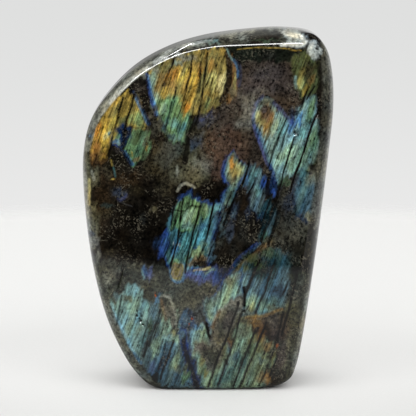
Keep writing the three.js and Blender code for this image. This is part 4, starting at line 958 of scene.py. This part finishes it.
class Rim:
    """The widest section at so many even places, and the sections of the edges, faces and wall drawn from it."""
    curve = closed_curve(OUTLINE, 80)
    beside = 0.15  # the section's direction is taken this far to either side of a place

    def __init__(self, count):
        loop = np.vstack([self.curve, self.curve[:1]])
        run = np.concatenate([[0], np.cumsum(np.hypot(*np.diff(loop, axis=0).T))])
        at = np.arange(count) / count * run[-1]

        def place(s):
            return np.stack([np.interp(s % run[-1], run, loop[:, n]) for n in (0, 1)], axis=1)

        spot = place(at)
        along = place(at + self.beside) - place(at - self.beside)
        spot[:, 1] = np.maximum(spot[:, 1], 0)
        normal = np.stack([along[:, 1], -along[:, 0]], axis=1)
        normal /= np.hypot(*normal.T)[:, None]
        self.spoke = spot - MIDDLE
        self.clearance = np.sum(self.spoke * normal, axis=1)
        thickness = dome_depth(BACK_DOME, *spot.T) - dome_depth(FRONT_DOME, *spot.T)
        front, back = towards(FRONT_REACH, self.spoke), towards(BACK_REACH, self.spoke)
        fit = np.minimum(1, MOST_REACH * thickness / (front + back))
        self.sides = {
            "front": (FRONT_DOME, towards(FRONT_INSET, self.spoke), front * fit),
            "back": (BACK_DOME, towards(BACK_INSET, self.spoke), -back * fit),
        }

    def _surface(self, dome, scale, lift):
        x, z = (np.asarray(MIDDLE) + self.spoke * scale[:, None]).T
        return np.stack([x, dome_depth(dome, x, z) + lift, z], axis=1)

    def face(self, name, share):
        """The ring on a face at that share of the way from its middle to its edge."""
        dome, inset, _ = self.sides[name]
        return self._surface(dome, share * (1 - inset / self.clearance), 0)

    def rounding(self, name, angle):
        """The ring on a face's rounded edge, from 0 at the face to a quarter turn at the wall."""
        dome, inset, reach = self.sides[name]
        scale = 1 - inset * (1 - math.sin(angle)) / self.clearance
        return self._surface(dome, scale, reach * (1 - math.cos(angle)))

    def wall(self, share):
        """The ring at that share of the way from the front's edge to the back's."""
        front, back = self.rounding("front", math.pi / 2), self.rounding("back", math.pi / 2)
        return front + (back - front) * share


def facet_planes():
    """Each ground facet as the direction it faces and its offset along it."""
    for x, z, behind, heading, tilt in FACETS:
        turn, lean = math.radians(heading), math.radians(tilt)
        normal = np.array([math.cos(turn) * math.sin(lean), -math.cos(lean), math.sin(turn) * math.sin(lean)])
        yield normal, normal @ (x, dome_depth(FRONT_DOME, x, z) + behind, z)


def grind(points):
    """Grinds the points down to every facet that they stand above."""
    for normal, offset in facet_planes():
        above = (points @ normal - offset) / FACET_EDGE
        points = points - FACET_EDGE * np.logaddexp(0, above)[:, None] * normal
    return points


def stitch(start_a, count_a, start_b, count_b):
    """Triangles between two closed rings of points; either may be a single point."""
    key = np.concatenate([np.arange(1, count_a + 1) / count_a, np.arange(1, count_b + 1) / count_b])
    step_b = np.repeat([0, 1], [count_a, count_b])
    order = np.lexsort((step_b, key))
    step_b = step_b[order]
    i, j = np.cumsum(1 - step_b) - (1 - step_b), np.cumsum(step_b) - step_b
    p, q = start_a + i % count_a, start_b + j % count_b
    tip = np.where(step_b == 1, start_b + (j + 1) % count_b, start_a + (i + 1) % count_a)
    keep = np.where(step_b == 1, count_b > 1, count_a > 1)
    return np.stack([p, q, tip], axis=1)[keep]


def stone_surface(fine, coarse):
    """Points and triangles of the whole stone, with steps in mm on its front and on the rest."""
    def shares(run, step):
        """Evenly spread shares of a run, from one step up to the whole."""
        count = math.ceil(run / step)
        return np.arange(1, count + 1) / count

    def face(name, step, parts):
        return [Rim(max(6, round(AROUND * part / step))).face(name, part) for part in parts]

    bend, quarter = fine * EDGE_STEP, math.pi / 2
    edge, side = Rim(round(AROUND / bend)), Rim(round(AROUND / coarse))
    rings = face("front", fine, shares(FRONT_RUN, fine) * FACE_END)
    rings += [edge.rounding("front", a) for a in np.linspace(0, quarter, math.ceil(EDGE_RUN / bend))[:-1]]
    rings += [side.wall(s) for s in np.linspace(0, 1, math.ceil(SIDE_RUN / coarse))[:-1]]
    rings += [side.rounding("back", a) for a in np.linspace(quarter, 0, math.ceil(BACK_EDGE_RUN / coarse))]
    rings += face("back", coarse, shares(BACK_RUN, coarse)[-2::-1])
    tips = [np.array([[MIDDLE[0], dome_depth(d, *MIDDLE), MIDDLE[1]]]) for d in (FRONT_DOME, BACK_DOME)]
    rings = [tips[0]] + rings + [tips[1]]
    starts = np.cumsum([0] + [len(r) for r in rings])
    triangles = [stitch(starts[n], len(rings[n]), starts[n + 1], len(rings[n + 1])) for n in range(len(rings) - 1)]
    return grind(np.vstack(rings)), np.vstack(triangles)


def point_normals(points, triangles):
    """The way the surface faces at each point."""
    a, b, c = (points[triangles[:, n]] for n in range(3))
    facing = np.cross(b - a, c - a)
    normals = np.zeros_like(points)
    for n in range(3):
        np.add.at(normals, triangles[:, n], facing)
    return normals / np.maximum(np.linalg.norm(normals, axis=1), 1e-12)[:, None]


# ---------------------------------------------------------------- painting the surface
class Painter:
    """Lays tints over places on one face, looking at it squarely. Lengths are in mm."""
    reach = 1.2  # the noises carry a mark no further than this beyond its edge
    slow, fine, straight = 0.5, 0.22, 0.18  # how far areas wander, slowly and finely, and how far lines do
    fray = 0.6  # how far the drawn grain pulls the edge of a patch about
    rough = 0.22  # and by what share the edge of an oval
    dab_start, glaze_start, oval_end = 0.45, 0.2, 1.3  # an oval fades out between these many times its radii
    parting_soft = 0.42  # the edge of a parting fades over this width

    def __init__(self, x, z, noise, palette, ground):
        self.palette = palette
        self.colour = np.tile(palette[ground][0], (len(x), 1))
        self.flash = np.zeros(len(x))
        self.lines = np.full(len(x), GROUND_LINES)
        across, along = by_lamella(x, z)

        def field(start, scale, octaves=1):
            """A noise over the face. Its start only keeps it apart from the others."""
            return noise(np.stack([x, z, np.zeros_like(x)], axis=1) + start, scale, octaves)

        def drawn(start, stretched, scale, octaves=1):
            """A noise that is drawn out along the lamellae."""
            return noise(np.stack([across, along * stretched, np.full_like(x, start)], axis=1), scale, octaves)

        # each lamella has slipped a little along its length, so edges across them are stepped
        slip = drawn(3.7, 0.02, 1.1)
        self.x = x + self.slow * field(11, 3, 3) + self.fine * field(23, 0.8) + slip * math.sin(LEAN)
        self.z = z + self.slow * field(37, 3, 3) + self.fine * field(51, 0.8) + slip * math.cos(LEAN)
        self.plain = (x + self.straight * field(81, 4), z + self.straight * field(97, 4))
        self.grain = drawn(0, 0.22, 0.8, 3)
        self.uneven = field(131, 5, 2)
        self.bands = drawn(9.1, 0.03, 1.7, 2)
        self.hue = drawn(17.3, 0.03, 2.1, 2)
        self.cloud = field(170, 2.6, 3)
        self.warmth = field(210, 7, 3)

    def near(self, points, margin):
        """Which places lie within a box round the points."""
        p = np.asarray(points, float)
        low, high = p.min(0) - margin, p.max(0) + margin
        return np.flatnonzero((self.x > low[0]) & (self.x < high[0]) & (self.z > low[1]) & (self.z < high[1]))

    def lay(self, where, name, weight, colour=None):
        """Covers places with a tint. A patch with bands brings its own colours."""
        rgb, flash = self.palette[name]
        rgb = rgb if colour is None else colour
        self.colour[where] += weight[:, None] * (rgb - self.colour[where])
        self.flash[where] += weight * (flash - self.flash[where])

    def paint(self, marks):
        """Lays the marks one over another, each in the way of its kind."""
        ways = {Dab: self._dab, Patch: self._patch, Stroke: self._stroke, Glaze: self._glaze}
        for mark in marks:
            mark = Dab(*mark) if type(mark) is tuple else mark
            ways[type(mark)](mark)

    def part(self, partings):
        """Dark thin lines, each fading out at its ends and broken where the lamellae close up."""
        for half, strength, points in partings:
            at = self.near(points, half + self.reach)
            gap = distance_to(self.plain[0][at], self.plain[1][at], points)
            width = half * (1 + 0.5 * self.cloud[at])
            weight = strength * (1 - smoothstep(width, width + self.parting_soft, gap))
            weight = weight * (1.12 - 0.25 * self.grain[at])
            self.colour[at] += np.clip(weight, 0, 1)[:, None] * (self.palette["ink"][0] - self.colour[at])

    def _patch(self, mark):
        curve = closed_curve(mark.outline, 5)
        at = self.near(curve, mark.soft + 0.5)
        x, z = self.x[at], self.z[at]
        depth = distance_to(x, z, curve, closed=True) * np.where(inside(x, z, curve), 1, -1)
        weight = smoothstep(-mark.soft, mark.soft, depth + self.fray * self.grain[at])
        colour = None
        if mark.bands:
            stops = [b[1] for b in mark.bands] + [mark.bands[-1][1] + self.reach]
            tints = [self.palette[b[0]][0] for b in mark.bands] + [self.palette[mark.tint][0]]
            reach = depth * (1 + 0.3 * self.grain[at]) + 0.55 * self.uneven[at]
            colour = np.stack([np.interp(reach, stops, [t[n] for t in tints]) for n in range(3)], axis=1)
        self.lay(at, mark.tint, weight, colour)
        self.lines[at] += weight * (mark.lines - self.lines[at])

    def _oval(self, mark, start):
        """Places in the mark's oval, and how strongly it covers each."""
        at = self.near([(mark.x, mark.z)], 1.5 * max(mark.rx, mark.rz))
        turn = math.radians(mark.lean)
        dx, dz = self.x[at] - mark.x, self.z[at] - mark.z
        u = (dx * math.cos(turn) - dz * math.sin(turn)) / mark.rx
        v = (dx * math.sin(turn) + dz * math.cos(turn)) / mark.rz
        return at, 1 - smoothstep(start, self.oval_end, np.hypot(u, v) * (1 + self.rough * self.grain[at]))

    def _dab(self, mark):
        at, cover = self._oval(mark, self.dab_start)
        self.lay(at, mark.tint, mark.strength * cover)

    def _glaze(self, mark):
        at, cover = self._oval(mark, self.glaze_start)
        self.colour[at] *= 1 + cover[:, None] * (np.asarray(mark.gain) - 1)

    def _stroke(self, mark):
        at = self.near(mark.points, mark.half + mark.soft + self.reach)
        gap = distance_to(self.plain[0][at], self.plain[1][at], mark.points)
        self.lay(at, mark.tint, mark.strength * (1 - smoothstep(mark.half, mark.half + mark.soft, gap)))


def own_settings(group):
    """The names of a group's settings, without those that every group has."""
    return [name for name in group.bl_rna.properties.keys() if name not in ("rna_type", "name")]


def stone_palette(scene):
    """Every tint by name, as a linear colour and whether it belongs to the flash."""
    tints = {}
    for group, flash in ((scene.labradorite_body, 0.0), (scene.labradorite_flash, 1.0)):
        for name in own_settings(group):
            tints[name] = (to_linear(getattr(group, name)), flash)
    return tints


def rim_tones(points, noise, palette):
    """Tints of the sides: grey feldspar with darker clouds and pale veins along the lamellae."""
    across, along = by_lamella(points[:, 0], points[:, 2])
    depth, wander = points[:, 1], 1.6 * noise(points + 30, 4, 3)
    drawn = np.stack([across + depth * 0.6 + wander, depth * 0.7 - across * 0.4 + along * 0.25 - wander,
                      along * 0.35 + depth * 0.45], axis=1)
    cloud = noise(drawn + 5, 9, 3)
    fleck = noise(drawn + 40, 3, 2) * 0.8 + cloud * 0.3
    colour = np.tile(palette["ash"][0], (len(points), 1))
    # each tint comes in where its noise passes from the first value to the second
    for name, low, high, value in (("soot", 0.05, 0.5, -cloud), ("stone", 0.0, 0.35, cloud),
                                   ("khaki", 0.3, 0.7, cloud), ("bone", 0.55, 0.9, fleck), ("ink", 0.5, 0.8, -fleck),
                                   ("deepteal", 0.5, 0.8, noise(drawn + 90, 12, 2))):
        colour += smoothstep(low, high, value)[:, None] * (palette[name][0] - colour)
    return colour


def paint_stone(points, normals, palette, seed):
    """Colour, flash and how thick the lamella lines are, at every point."""
    noise = Noise(seed)
    colour = rim_tones(points, noise, palette)
    # painted light: places that face up are laid paler, as if lit from above
    colour += 0.5 * smoothstep(0.4, 0.9, normals[:, 2:3]) * (palette["smoke"][0] - colour)  # paler on top
    flash = np.zeros(len(points))
    lines = np.full(len(points), SIDE_LINES)
    for marks, ground, turned in ((FRONT_GROUND + FRONT + RIM, "ink", -1), (BACK_GROUND + FRONT, "soot", 1)):
        # the front's marks go on over the top edge, and less far round the sides
        low, high = (0.1 * np.abs(normals[:, 0]) - 0.12, 0.25) if turned < 0 else (0.02, 0.75)
        share = smoothstep(low, high, turned * normals[:, 1])
        at = np.flatnonzero(share > 0)
        place, height = points[at][:, (0, 2)], points[at, 2]
        painter = Painter(*(place if turned < 0 else BACK_TURN - place).T, noise, palette, ground)
        if turned > 0:
            painter.colour = rim_tones(points[at] + 60, noise, palette) * BACK_SHADE
        painter.paint(marks)
        painter.part(PARTINGS)
        sheet = painter.flash
        glow = 1 + BANDING * painter.bands * sheet + CLOUDING * painter.cloud * (1 - 0.7 * sheet)
        painter.colour *= 1 + DRIFT * (painter.warmth * (1 - 0.5 * sheet))[:, None]
        painter.colour *= 1 + TINGE * (painter.hue * sheet)[:, None]
        # painted shade: darker towards the foot
        foot = 1 - FOOT_SHADE * (1 - smoothstep(FOOT_LOW, FOOT_HIGH, height))
        veil = VEIL * (1 - smoothstep(VEIL_TOP - 1.5, VEIL_TOP + 1.5, height)) * (turned < 0)
        painter.colour *= (TINT_GAIN * foot * (1 + FLASH_GAIN * sheet))[:, None]
        painter.colour = np.maximum(painter.colour - TINT_GAIN * veil[:, None], painter.colour * 0.3)
        for whole, part in ((colour, painter.colour * glow[:, None]), (flash, sheet), (lines, painter.lines)):
            weight = share[at] if part.ndim == 1 else share[at, None]
            whole[at] += weight * (part - whole[at])
    return colour, flash, lines


def sprinkle(points, colour, flash, noise):
    """How much the specks and the needles show: less on the flash, and few specks on brown or pale places."""
    brown = (colour[:, 0] - colour[:, 2]) / np.maximum(colour.sum(1), 1e-6)
    specks = smoothstep(-0.6, 0.5, noise(points, 9, 2)) * (1 - 0.9 * flash) * np.clip(1.1 - 3 * brown, 0.2, 1)
    specks *= 1 - 0.7 * smoothstep(0.05, 0.2, colour[:, 1])
    return specks, smoothstep(-0.3, 0.5, noise(points + 60, 6, 2)) * (1 - 0.6 * flash)


def carve(points, normals, settings, noise):
    """Sinks the hollows and open cracks into the front; returns the points and how dark each one is inside."""
    x, z = points[:, 0], points[:, 2]
    front = smoothstep(0.1, 0.4, -normals[:, 1])
    wobble = 0.25 * noise(points + 70, 1.6, 2)
    depth, dark = np.zeros(len(points)), np.zeros(len(points))
    for px, pz, radius, low in PITS:
        edge = np.hypot(x - px, z - pz) / radius * (1 + wobble)
        share = front * (1 - smoothstep(0.45, 1.25, edge))
        depth, dark = np.maximum(depth, low * share), np.maximum(dark, share)
    for half, low, line in CRACKS:
        edge = distance_to(x + wobble, z + wobble, line)
        share = front * (1 - smoothstep(half * 0.5, half + 0.35, edge))
        depth, dark = np.maximum(depth, low * share), np.maximum(dark, share * min(1, 0.55 + half))
    swell = settings.swell * MM * (0.5 + 0.5 * noise(points, 19, 2))
    return points - (depth + swell)[:, None] * normals, dark


# ---------------------------------------------------------------- materials
class Nodes:
    """Adds nodes to a tree. What goes into a node is a number, a colour or another node's output."""

    def __init__(self, tree):
        self.tree = tree

    def fill(self, node, inputs):
        """Sets or joins a node's inputs, which go by name or by number."""
        for name, value in inputs.items():
            if isinstance(value, bpy.types.NodeSocket):
                self.tree.links.new(value, node.inputs[name])
            else:
                node.inputs[name].default_value = value

    def add(self, kind, inputs=None, **settings):
        node = self.tree.nodes.new("ShaderNode" + kind)
        for name, value in settings.items():
            setattr(node, name, value)
        self.fill(node, inputs or {})
        return node

    def math(self, operation, *values):
        return self.add("Math", dict(enumerate(values)), operation=operation).outputs[0]

    def times(self, a, b):
        return self.math("MULTIPLY", a, b)

    def times_plus(self, a, b, c):
        return self.math("MULTIPLY_ADD", a, b, c)

    def minus(self, a, b):
        return self.math("SUBTRACT", a, b)

    def larger(self, a, b):
        return self.math("MAXIMUM", a, b)

    def size(self, value):
        return self.math("ABSOLUTE", value)

    def scaled(self, vector, times):
        return self.add("VectorMath", {0: vector, "Scale": times}, operation="SCALE").outputs[0]

    def turned(self, vector, angle):
        """A place turned in the plane of the front."""
        return self.add("VectorRotate", {"Vector": vector, "Angle": angle}, rotation_type="Y_AXIS").outputs[0]

    def stretched(self, vector, scale, move=(0, 0, 0)):
        return self.add("Mapping", {"Vector": vector, "Scale": scale, "Location": move}).outputs[0]

    def grey(self, value):
        return self.add("CombineColor", dict.fromkeys(range(3), value)).outputs[0]

    def ramp(self, value, low, high, to_low=0.0, to_high=1.0, shape="SMOOTHSTEP"):
        """Passes from one value to another while the given one passes from low to high."""
        inputs = {0: value, 1: low, 2: high, 3: to_low, 4: to_high}
        return self.add("MapRange", inputs, interpolation_type=shape).outputs[0]

    def mix(self, factor, a, b, blend="MIX"):
        inputs = {0: factor, 6: a, 7: b}
        return self.add("Mix", inputs, data_type="RGBA", blend_type=blend, clamp_result=False).outputs[2]

    def noise(self, vector, scale, detail, roughness=0.5):
        inputs = {"Vector": vector, "Scale": scale, "Detail": detail, "Roughness": roughness}
        return self.add("TexNoise", inputs).outputs[0]


def fine_grain_group():
    """Fine mottling, short bright needles and dark specks, used by the stone and by the table."""
    group = bpy.data.node_groups.get("Fine Grain")
    if group:
        return group
    group = bpy.data.node_groups.new("Fine Grain", "ShaderNodeTree")
    face = group.interface
    face.new_socket("Vector", in_out="INPUT", socket_type="NodeSocketVector")
    for name, default in (("Grain Scale", 900.0), ("Needle Scale", 520.0), ("Speck Scale", 700.0)):
        face.new_socket(name, in_out="INPUT", socket_type="NodeSocketFloat").default_value = default
    for name in ("Mottle", "Needles", "Specks"):
        face.new_socket(name, in_out="OUTPUT", socket_type="NodeSocketFloat")
    nodes = Nodes(group)
    given, end = group.nodes.new("NodeGroupInput").outputs, group.nodes.new("NodeGroupOutput")
    where, needle_scale = given["Vector"], given["Needle Scale"]
    # a needle is where a drawn-out noise passes through its middle value; a second noise breaks it up
    needle = 0.0
    for angle, move in ((0.9, 0.3), (-0.5, 0.7)):
        drawn = nodes.stretched(nodes.turned(where, angle), (1, 1, 0.2), (move, 0, 0))
        swirl = nodes.noise(drawn, needle_scale, 1.0)
        needle = nodes.larger(nodes.ramp(nodes.size(nodes.minus(swirl, 0.5)), 0.01, 0.05, 1.0, 0.0), needle)
    broken = nodes.ramp(nodes.noise(where, nodes.times(needle_scale, 0.8), 1.0), 0.48, 0.62)
    nodes.fill(end, {
        "Mottle": nodes.noise(where, given["Grain Scale"], 3.0, 0.65),
        "Needles": nodes.times(needle, broken),
        "Specks": nodes.ramp(nodes.noise(where, given["Speck Scale"], 5.0, 0.8), 0.5, 0.78),
    })
    return group


def new_material(name):
    """A new material, its nodes and its shader."""
    material = bpy.data.materials.new(name)
    material.use_nodes = True
    return material, Nodes(material.node_tree), material.node_tree.nodes["Principled BSDF"]


def parting_lines(nodes, place, spacing, widest, amount, start):
    """Thin dark lines along the lamellae, each broken here and there. Everything is in mm."""
    across, depth, along = place

    def wander(first, along_share, depth_share, roughness):
        spot = {0: first, 1: nodes.times(along, along_share), 2: nodes.times(depth, depth_share)}
        return nodes.noise(nodes.add("CombineXYZ", spot).outputs[0], 1.0, 3.0, roughness)

    # the lines bend together; number is the line nearest to a place, and gap the way to it
    bend = nodes.minus(wander(nodes.times_plus(across, 0.16, start), 0.045, 0.05, 0.55), 0.5)
    run = nodes.times_plus(bend, 4.5, nodes.times(across, 1 / spacing))
    number = nodes.math("ROUND", run)
    gap = nodes.times(nodes.size(nodes.minus(run, number)), spacing)
    # each line's width changes along it, and where the width would be too small it stops
    width = wander(nodes.times_plus(number, 5.17, start), 0.11, 0.1, 0.6)
    width = nodes.ramp(width, 0.62 - amount * 0.3, 0.85 - amount * 0.3, 0, widest)
    line = nodes.ramp(gap, nodes.times(width, 0.35), nodes.math("ADD", width, 0.01), 1.0, 0.0, "LINEAR")
    return nodes.times(line, nodes.ramp(width, 0.0, widest * 0.3))


def stone_material(spacing, glow):
    """Polished labradorite. The mesh carries its tints, and the nodes add dark lines, grain, needles and specks."""
    material, nodes, shader = new_material("polished_labradorite")
    where = nodes.add("TexCoord").outputs["Object"]
    tone = nodes.add("Attribute", attribute_name="tone").outputs
    marks = nodes.add("Attribute", attribute_name="marks").outputs
    flash, needles = tone["Alpha"], marks["Alpha"]
    lines, hollow, specks = nodes.add("SeparateColor", {0: marks["Color"]}).outputs
    turned = nodes.turned(nodes.scaled(where, MM), -LEAN)
    place = nodes.add("SeparateXYZ", {0: turned}).outputs
    streaks = nodes.noise(nodes.stretched(turned, (1.25, 0.9, 0.12)), 1.0, 3.0, 0.65)
    grain = nodes.add("Group", {"Vector": where, **STONE_GRAIN}, node_tree=fine_grain_group()).outputs

    # streaks lighten and darken the flash along the lamellae; the mottle works on everything
    lively = nodes.times(nodes.minus(streaks, 0.5), nodes.times_plus(flash, FLASH_STREAKING, STREAKING))
    pale = nodes.add("SeparateColor", {0: tone["Color"]}).outputs[1]
    coarse = nodes.times_plus(flash, FLASH_MOTTLING, nodes.ramp(pale, 0.05, 0.22, 3.4, 2.0))
    lively = nodes.times_plus(nodes.minus(grain["Mottle"], 0.5), nodes.larger(coarse, MOTTLING), lively)
    shade = nodes.larger(nodes.times_plus(lively, CONTRAST, 1.0), DEEPEST)
    dark_line = 0.0
    for times, widest, amount, start, darkness in LINE_SETS:
        line = parting_lines(nodes, place, spacing * MM * times, widest, amount, start)
        dark_line = nodes.larger(nodes.times(line, darkness), dark_line)
    dark_line = nodes.times(dark_line, lines)
    shade = nodes.times(shade, nodes.minus(1.0, dark_line))
    speck = nodes.times(grain["Specks"], nodes.times(specks, SPECK_SHADE))
    shade = nodes.times(shade, nodes.minus(1.0, speck))
    colour = nodes.scaled(tone["Color"], shade)
    colour = nodes.mix(nodes.times(grain["Needles"], needles), colour, NEEDLE_TINT, "ADD")
    bump = nodes.add("Bump", {"Height": dark_line, "Strength": GROOVE, "Distance": GROOVE_DEPTH}, invert=True)
    nodes.fill(shader, {
        "Base Color": nodes.mix(hollow, colour, HOLLOW_TINT),
        "Metallic": nodes.times(flash, METAL * glow),
        "Roughness": nodes.times_plus(hollow, HOLLOW_ROUGH, nodes.times_plus(streaks, STREAK_ROUGH, ROUGH)),
        "Coat Weight": nodes.times_plus(hollow, -HOLLOW_DULL, 1.0),
        "Normal": bump.outputs[0],
        **POLISH,
    })
    return material


def table_material(radius):
    """Matt pale table top, whose edge fades away, with painted light round the stone. Its reflection in the polish
    has its own painted shade.
    """
    material, nodes, shader = new_material("pale_table")
    where = nodes.add("TexCoord").outputs["Object"]
    x, y, _ = nodes.add("SeparateXYZ", {0: where}).outputs
    mirrored = nodes.add("LightPath").outputs["Is Glossy Ray"]
    mottle = nodes.add("Group", {"Vector": where}, node_tree=fine_grain_group()).outputs["Mottle"]
    reach = nodes.add("VectorMath", {0: where}, operation="LENGTH").outputs["Value"]
    # painted light: seen itself, the table is laid paler towards the back and close round the stone, lifting the
    # stone's shadow
    paler = nodes.times(nodes.ramp(y, -0.06, 0.12, 0.83, 0.98), nodes.ramp(reach, 0.03, 0.13, 1.2, 1.0))
    tone = nodes.scaled(nodes.mix(nodes.ramp(mottle, 0.2, 0.8), *TABLE_TINTS), paler)
    # painted shade: in the polish it is dim right in front of the stone, and paler on both sides and behind
    beside = nodes.ramp(nodes.times_plus(y, 0.35, nodes.size(x)), 0.036, 0.056)
    shown = nodes.mix(beside, TABLE_SHADE, nodes.grey(nodes.ramp(y, -0.1, 0.15, 0.3, 0.74)))
    ahead = nodes.add("VectorMath", {0: where, 1: (0.23, -1.15, 0)}, operation="DOT_PRODUCT").outputs["Value"]
    reach = nodes.add("Mix", {0: mirrored, 2: reach, 3: ahead}).outputs[0]
    nodes.fill(shader, {
        "Base Color": nodes.mix(mirrored, tone, shown),
        "Alpha": nodes.ramp(reach, *(radius * share for share in TABLE_FADE), 1.0, 0.0),
        **TABLE_MATT,
    })
    return material


# ---------------------------------------------------------------- operators
def new_object(name, data):
    """An object that stands in the scene."""
    made = bpy.data.objects.new(name, data)
    bpy.context.scene.collection.objects.link(made)
    return made


class LABRADORITE_OT_make_stone(Operator):
    """Build the polished stone with its markings, cracks and hollows"""
    bl_idname = "labradorite.make_stone"
    bl_label = "Make Stone"
    bl_options = {"REGISTER", "UNDO"}

    def execute(self, context):
        settings = context.scene.labradorite_finish
        points, triangles = stone_surface(settings.face_step * MM, settings.side_step * MM)
        low, high = (np.array(corner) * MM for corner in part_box("stone"))
        points = low + (points - points.min(0)) * (high - low) / np.ptp(points, axis=0)
        normals = point_normals(points, triangles)
        colour, flash, lines = paint_stone(points, normals, stone_palette(context.scene), settings.seed)
        noise = Noise(settings.seed + 1)
        specks, needles = sprinkle(points, colour, flash, noise)
        points, dark = carve(points, normals, settings, noise)
        points = np.clip(points, low, high)

        mesh = bpy.data.meshes.new("polished_stone")
        mesh.from_pydata((points / MM).tolist(), [], triangles.tolist())
        mesh.shade_smooth()
        for name, values in (("tone", np.column_stack([np.clip(colour, 0, 1), flash])),
                             ("marks", np.column_stack([lines, dark, specks, needles]))):
            attribute = mesh.attributes.new(name, "FLOAT_COLOR", "POINT")
            attribute.data.foreach_set("color", values.astype(np.float32).ravel())
        mesh.materials.append(stone_material(settings.lamella, settings.glow))
        stone = new_object("polished_stone", mesh)
        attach(stone, "root")
        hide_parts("stone")
        return {"FINISHED"}


def add_softbox(name, place, target, size, watts, in_polish):
    """A soft light that either lights the scene or shows only in the polish."""
    light = bpy.data.lights.new(name, "AREA")
    light.shape = "RECTANGLE"
    light.size, light.size_y = size
    light.energy = watts
    lamp = new_object(name, light)
    lamp.location = place
    lamp.rotation_euler = (Vector(target) - Vector(place)).to_track_quat("-Z", "Y").to_euler()
    lamp.visible_camera = False
    lamp.visible_diffuse, lamp.visible_glossy = not in_polish, in_polish


def studio_world():
    """Pale surroundings; in reflections they are bright only low behind and high on the left."""
    world = bpy.data.worlds.new("studio")
    world.use_nodes = True
    nodes = Nodes(world.node_tree)
    path = nodes.add("LightPath").outputs
    x, y, z = nodes.add("SeparateXYZ", {0: nodes.add("TexCoord").outputs["Generated"]}).outputs
    wall = nodes.mix(nodes.ramp(z, -0.2, -0.06), *WALL_TINTS)
    behind = nodes.times(nodes.ramp(y, -0.2, 0.8, 0.012, 0.85), nodes.ramp(z, 0.2, 0.55, 1.0, 0.12))
    corner = nodes.times(nodes.ramp(x, 0.1, -0.1), nodes.ramp(z, -0.16, 0.02))
    behind = nodes.times(behind, nodes.times_plus(corner, -0.7, 1.0))
    beside = nodes.times(nodes.ramp(x, 0.15, -0.5), nodes.ramp(z, 0.35, 0.95, 0.0, 0.3))
    mirror = nodes.grey(nodes.math("ADD", behind, beside))
    soft = nodes.mix(path["Is Glossy Ray"], ROOM_TINT, mirror)
    nodes.fill(world.node_tree.nodes["Background"], {"Color": nodes.mix(path["Is Camera Ray"], soft, wall)})
    return world


class LABRADORITE_OT_make_stage(Operator):
    """Set the camera, the pale table and the soft studio lights round the stone"""
    bl_idname = "labradorite.make_stage"
    bl_label = "Make Stage"
    bl_options = {"REGISTER", "UNDO"}

    def execute(self, context):
        scene, stage = context.scene, context.scene.labradorite_stage
        low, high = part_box("stone")
        middle = Vector((0, 0, (low.z + high.z) / 2 - LENS_DROP))

        data = bpy.data.cameras.new("camera")
        data.lens = stage.lens
        camera = new_object("camera", data)
        away = Vector((0, -math.cos(stage.elevation), math.sin(stage.elevation)))
        camera.location = middle + away * stage.distance
        camera.rotation_euler = away.to_track_quat("Z", "Y").to_euler()
        scene.camera = camera

        mesh = bpy.data.meshes.new("table")
        turn = np.linspace(0, 2 * math.pi, 97)[:-1]
        ring = np.stack([np.cos(turn), np.sin(turn), np.zeros_like(turn)], axis=1) * stage.table_radius
        mesh.from_pydata(ring.tolist(), [], [range(len(ring))])
        mesh.materials.append(table_material(stage.table_radius))
        table = new_object("table", mesh)

        for name, (place, size, setting, in_polish) in LIGHTS.items():
            add_softbox(name, place, middle, size, getattr(stage, setting), in_polish)
        scene.world = studio_world()
        scene.view_settings.view_transform = "Standard"
        return {"FINISHED"}


class LABRADORITE_PT_panel(Panel):
    """Settings and buttons for the labradorite freeform"""
    bl_idname = "LABRADORITE_PT_panel"
    bl_label = "Labradorite Freeform"
    bl_space_type = "VIEW_3D"
    bl_region_type = "UI"
    bl_category = "Labradorite"

    def draw(self, context):
        scene = context.scene
        for title, operator, groups in (
            ("Stone", "labradorite.make_stone",
             (scene.labradorite_finish, scene.labradorite_body, scene.labradorite_flash)),
            ("Stage", "labradorite.make_stage", (scene.labradorite_stage,)),
        ):
            box = self.layout.box()
            box.label(text=title)
            for group in groups:
                column = box.column(align=True)
                for name in own_settings(group):
                    column.prop(group, name)
            box.operator(operator)


CLASSES = (StoneBody, StoneFlash, StoneFinish, StageSettings, LABRADORITE_OT_make_stone, LABRADORITE_OT_make_stage,
           LABRADORITE_PT_panel)
SETTINGS = {"labradorite_body": StoneBody, "labradorite_flash": StoneFlash, "labradorite_finish": StoneFinish,
            "labradorite_stage": StageSettings}


def register():
    for cls in CLASSES:
        bpy.utils.register_class(cls)
    for name, cls in SETTINGS.items():
        setattr(bpy.types.Scene, name, PointerProperty(type=cls))


def unregister():
    for name in SETTINGS:
        delattr(bpy.types.Scene, name)
    for cls in reversed(CLASSES):
        bpy.utils.unregister_class(cls)


def main():
    register()
    bpy.ops.labradorite.make_stage()
    bpy.ops.labradorite.make_stone()
    bpy.context.view_layer.update()


if __name__ == "__main__":
    main()
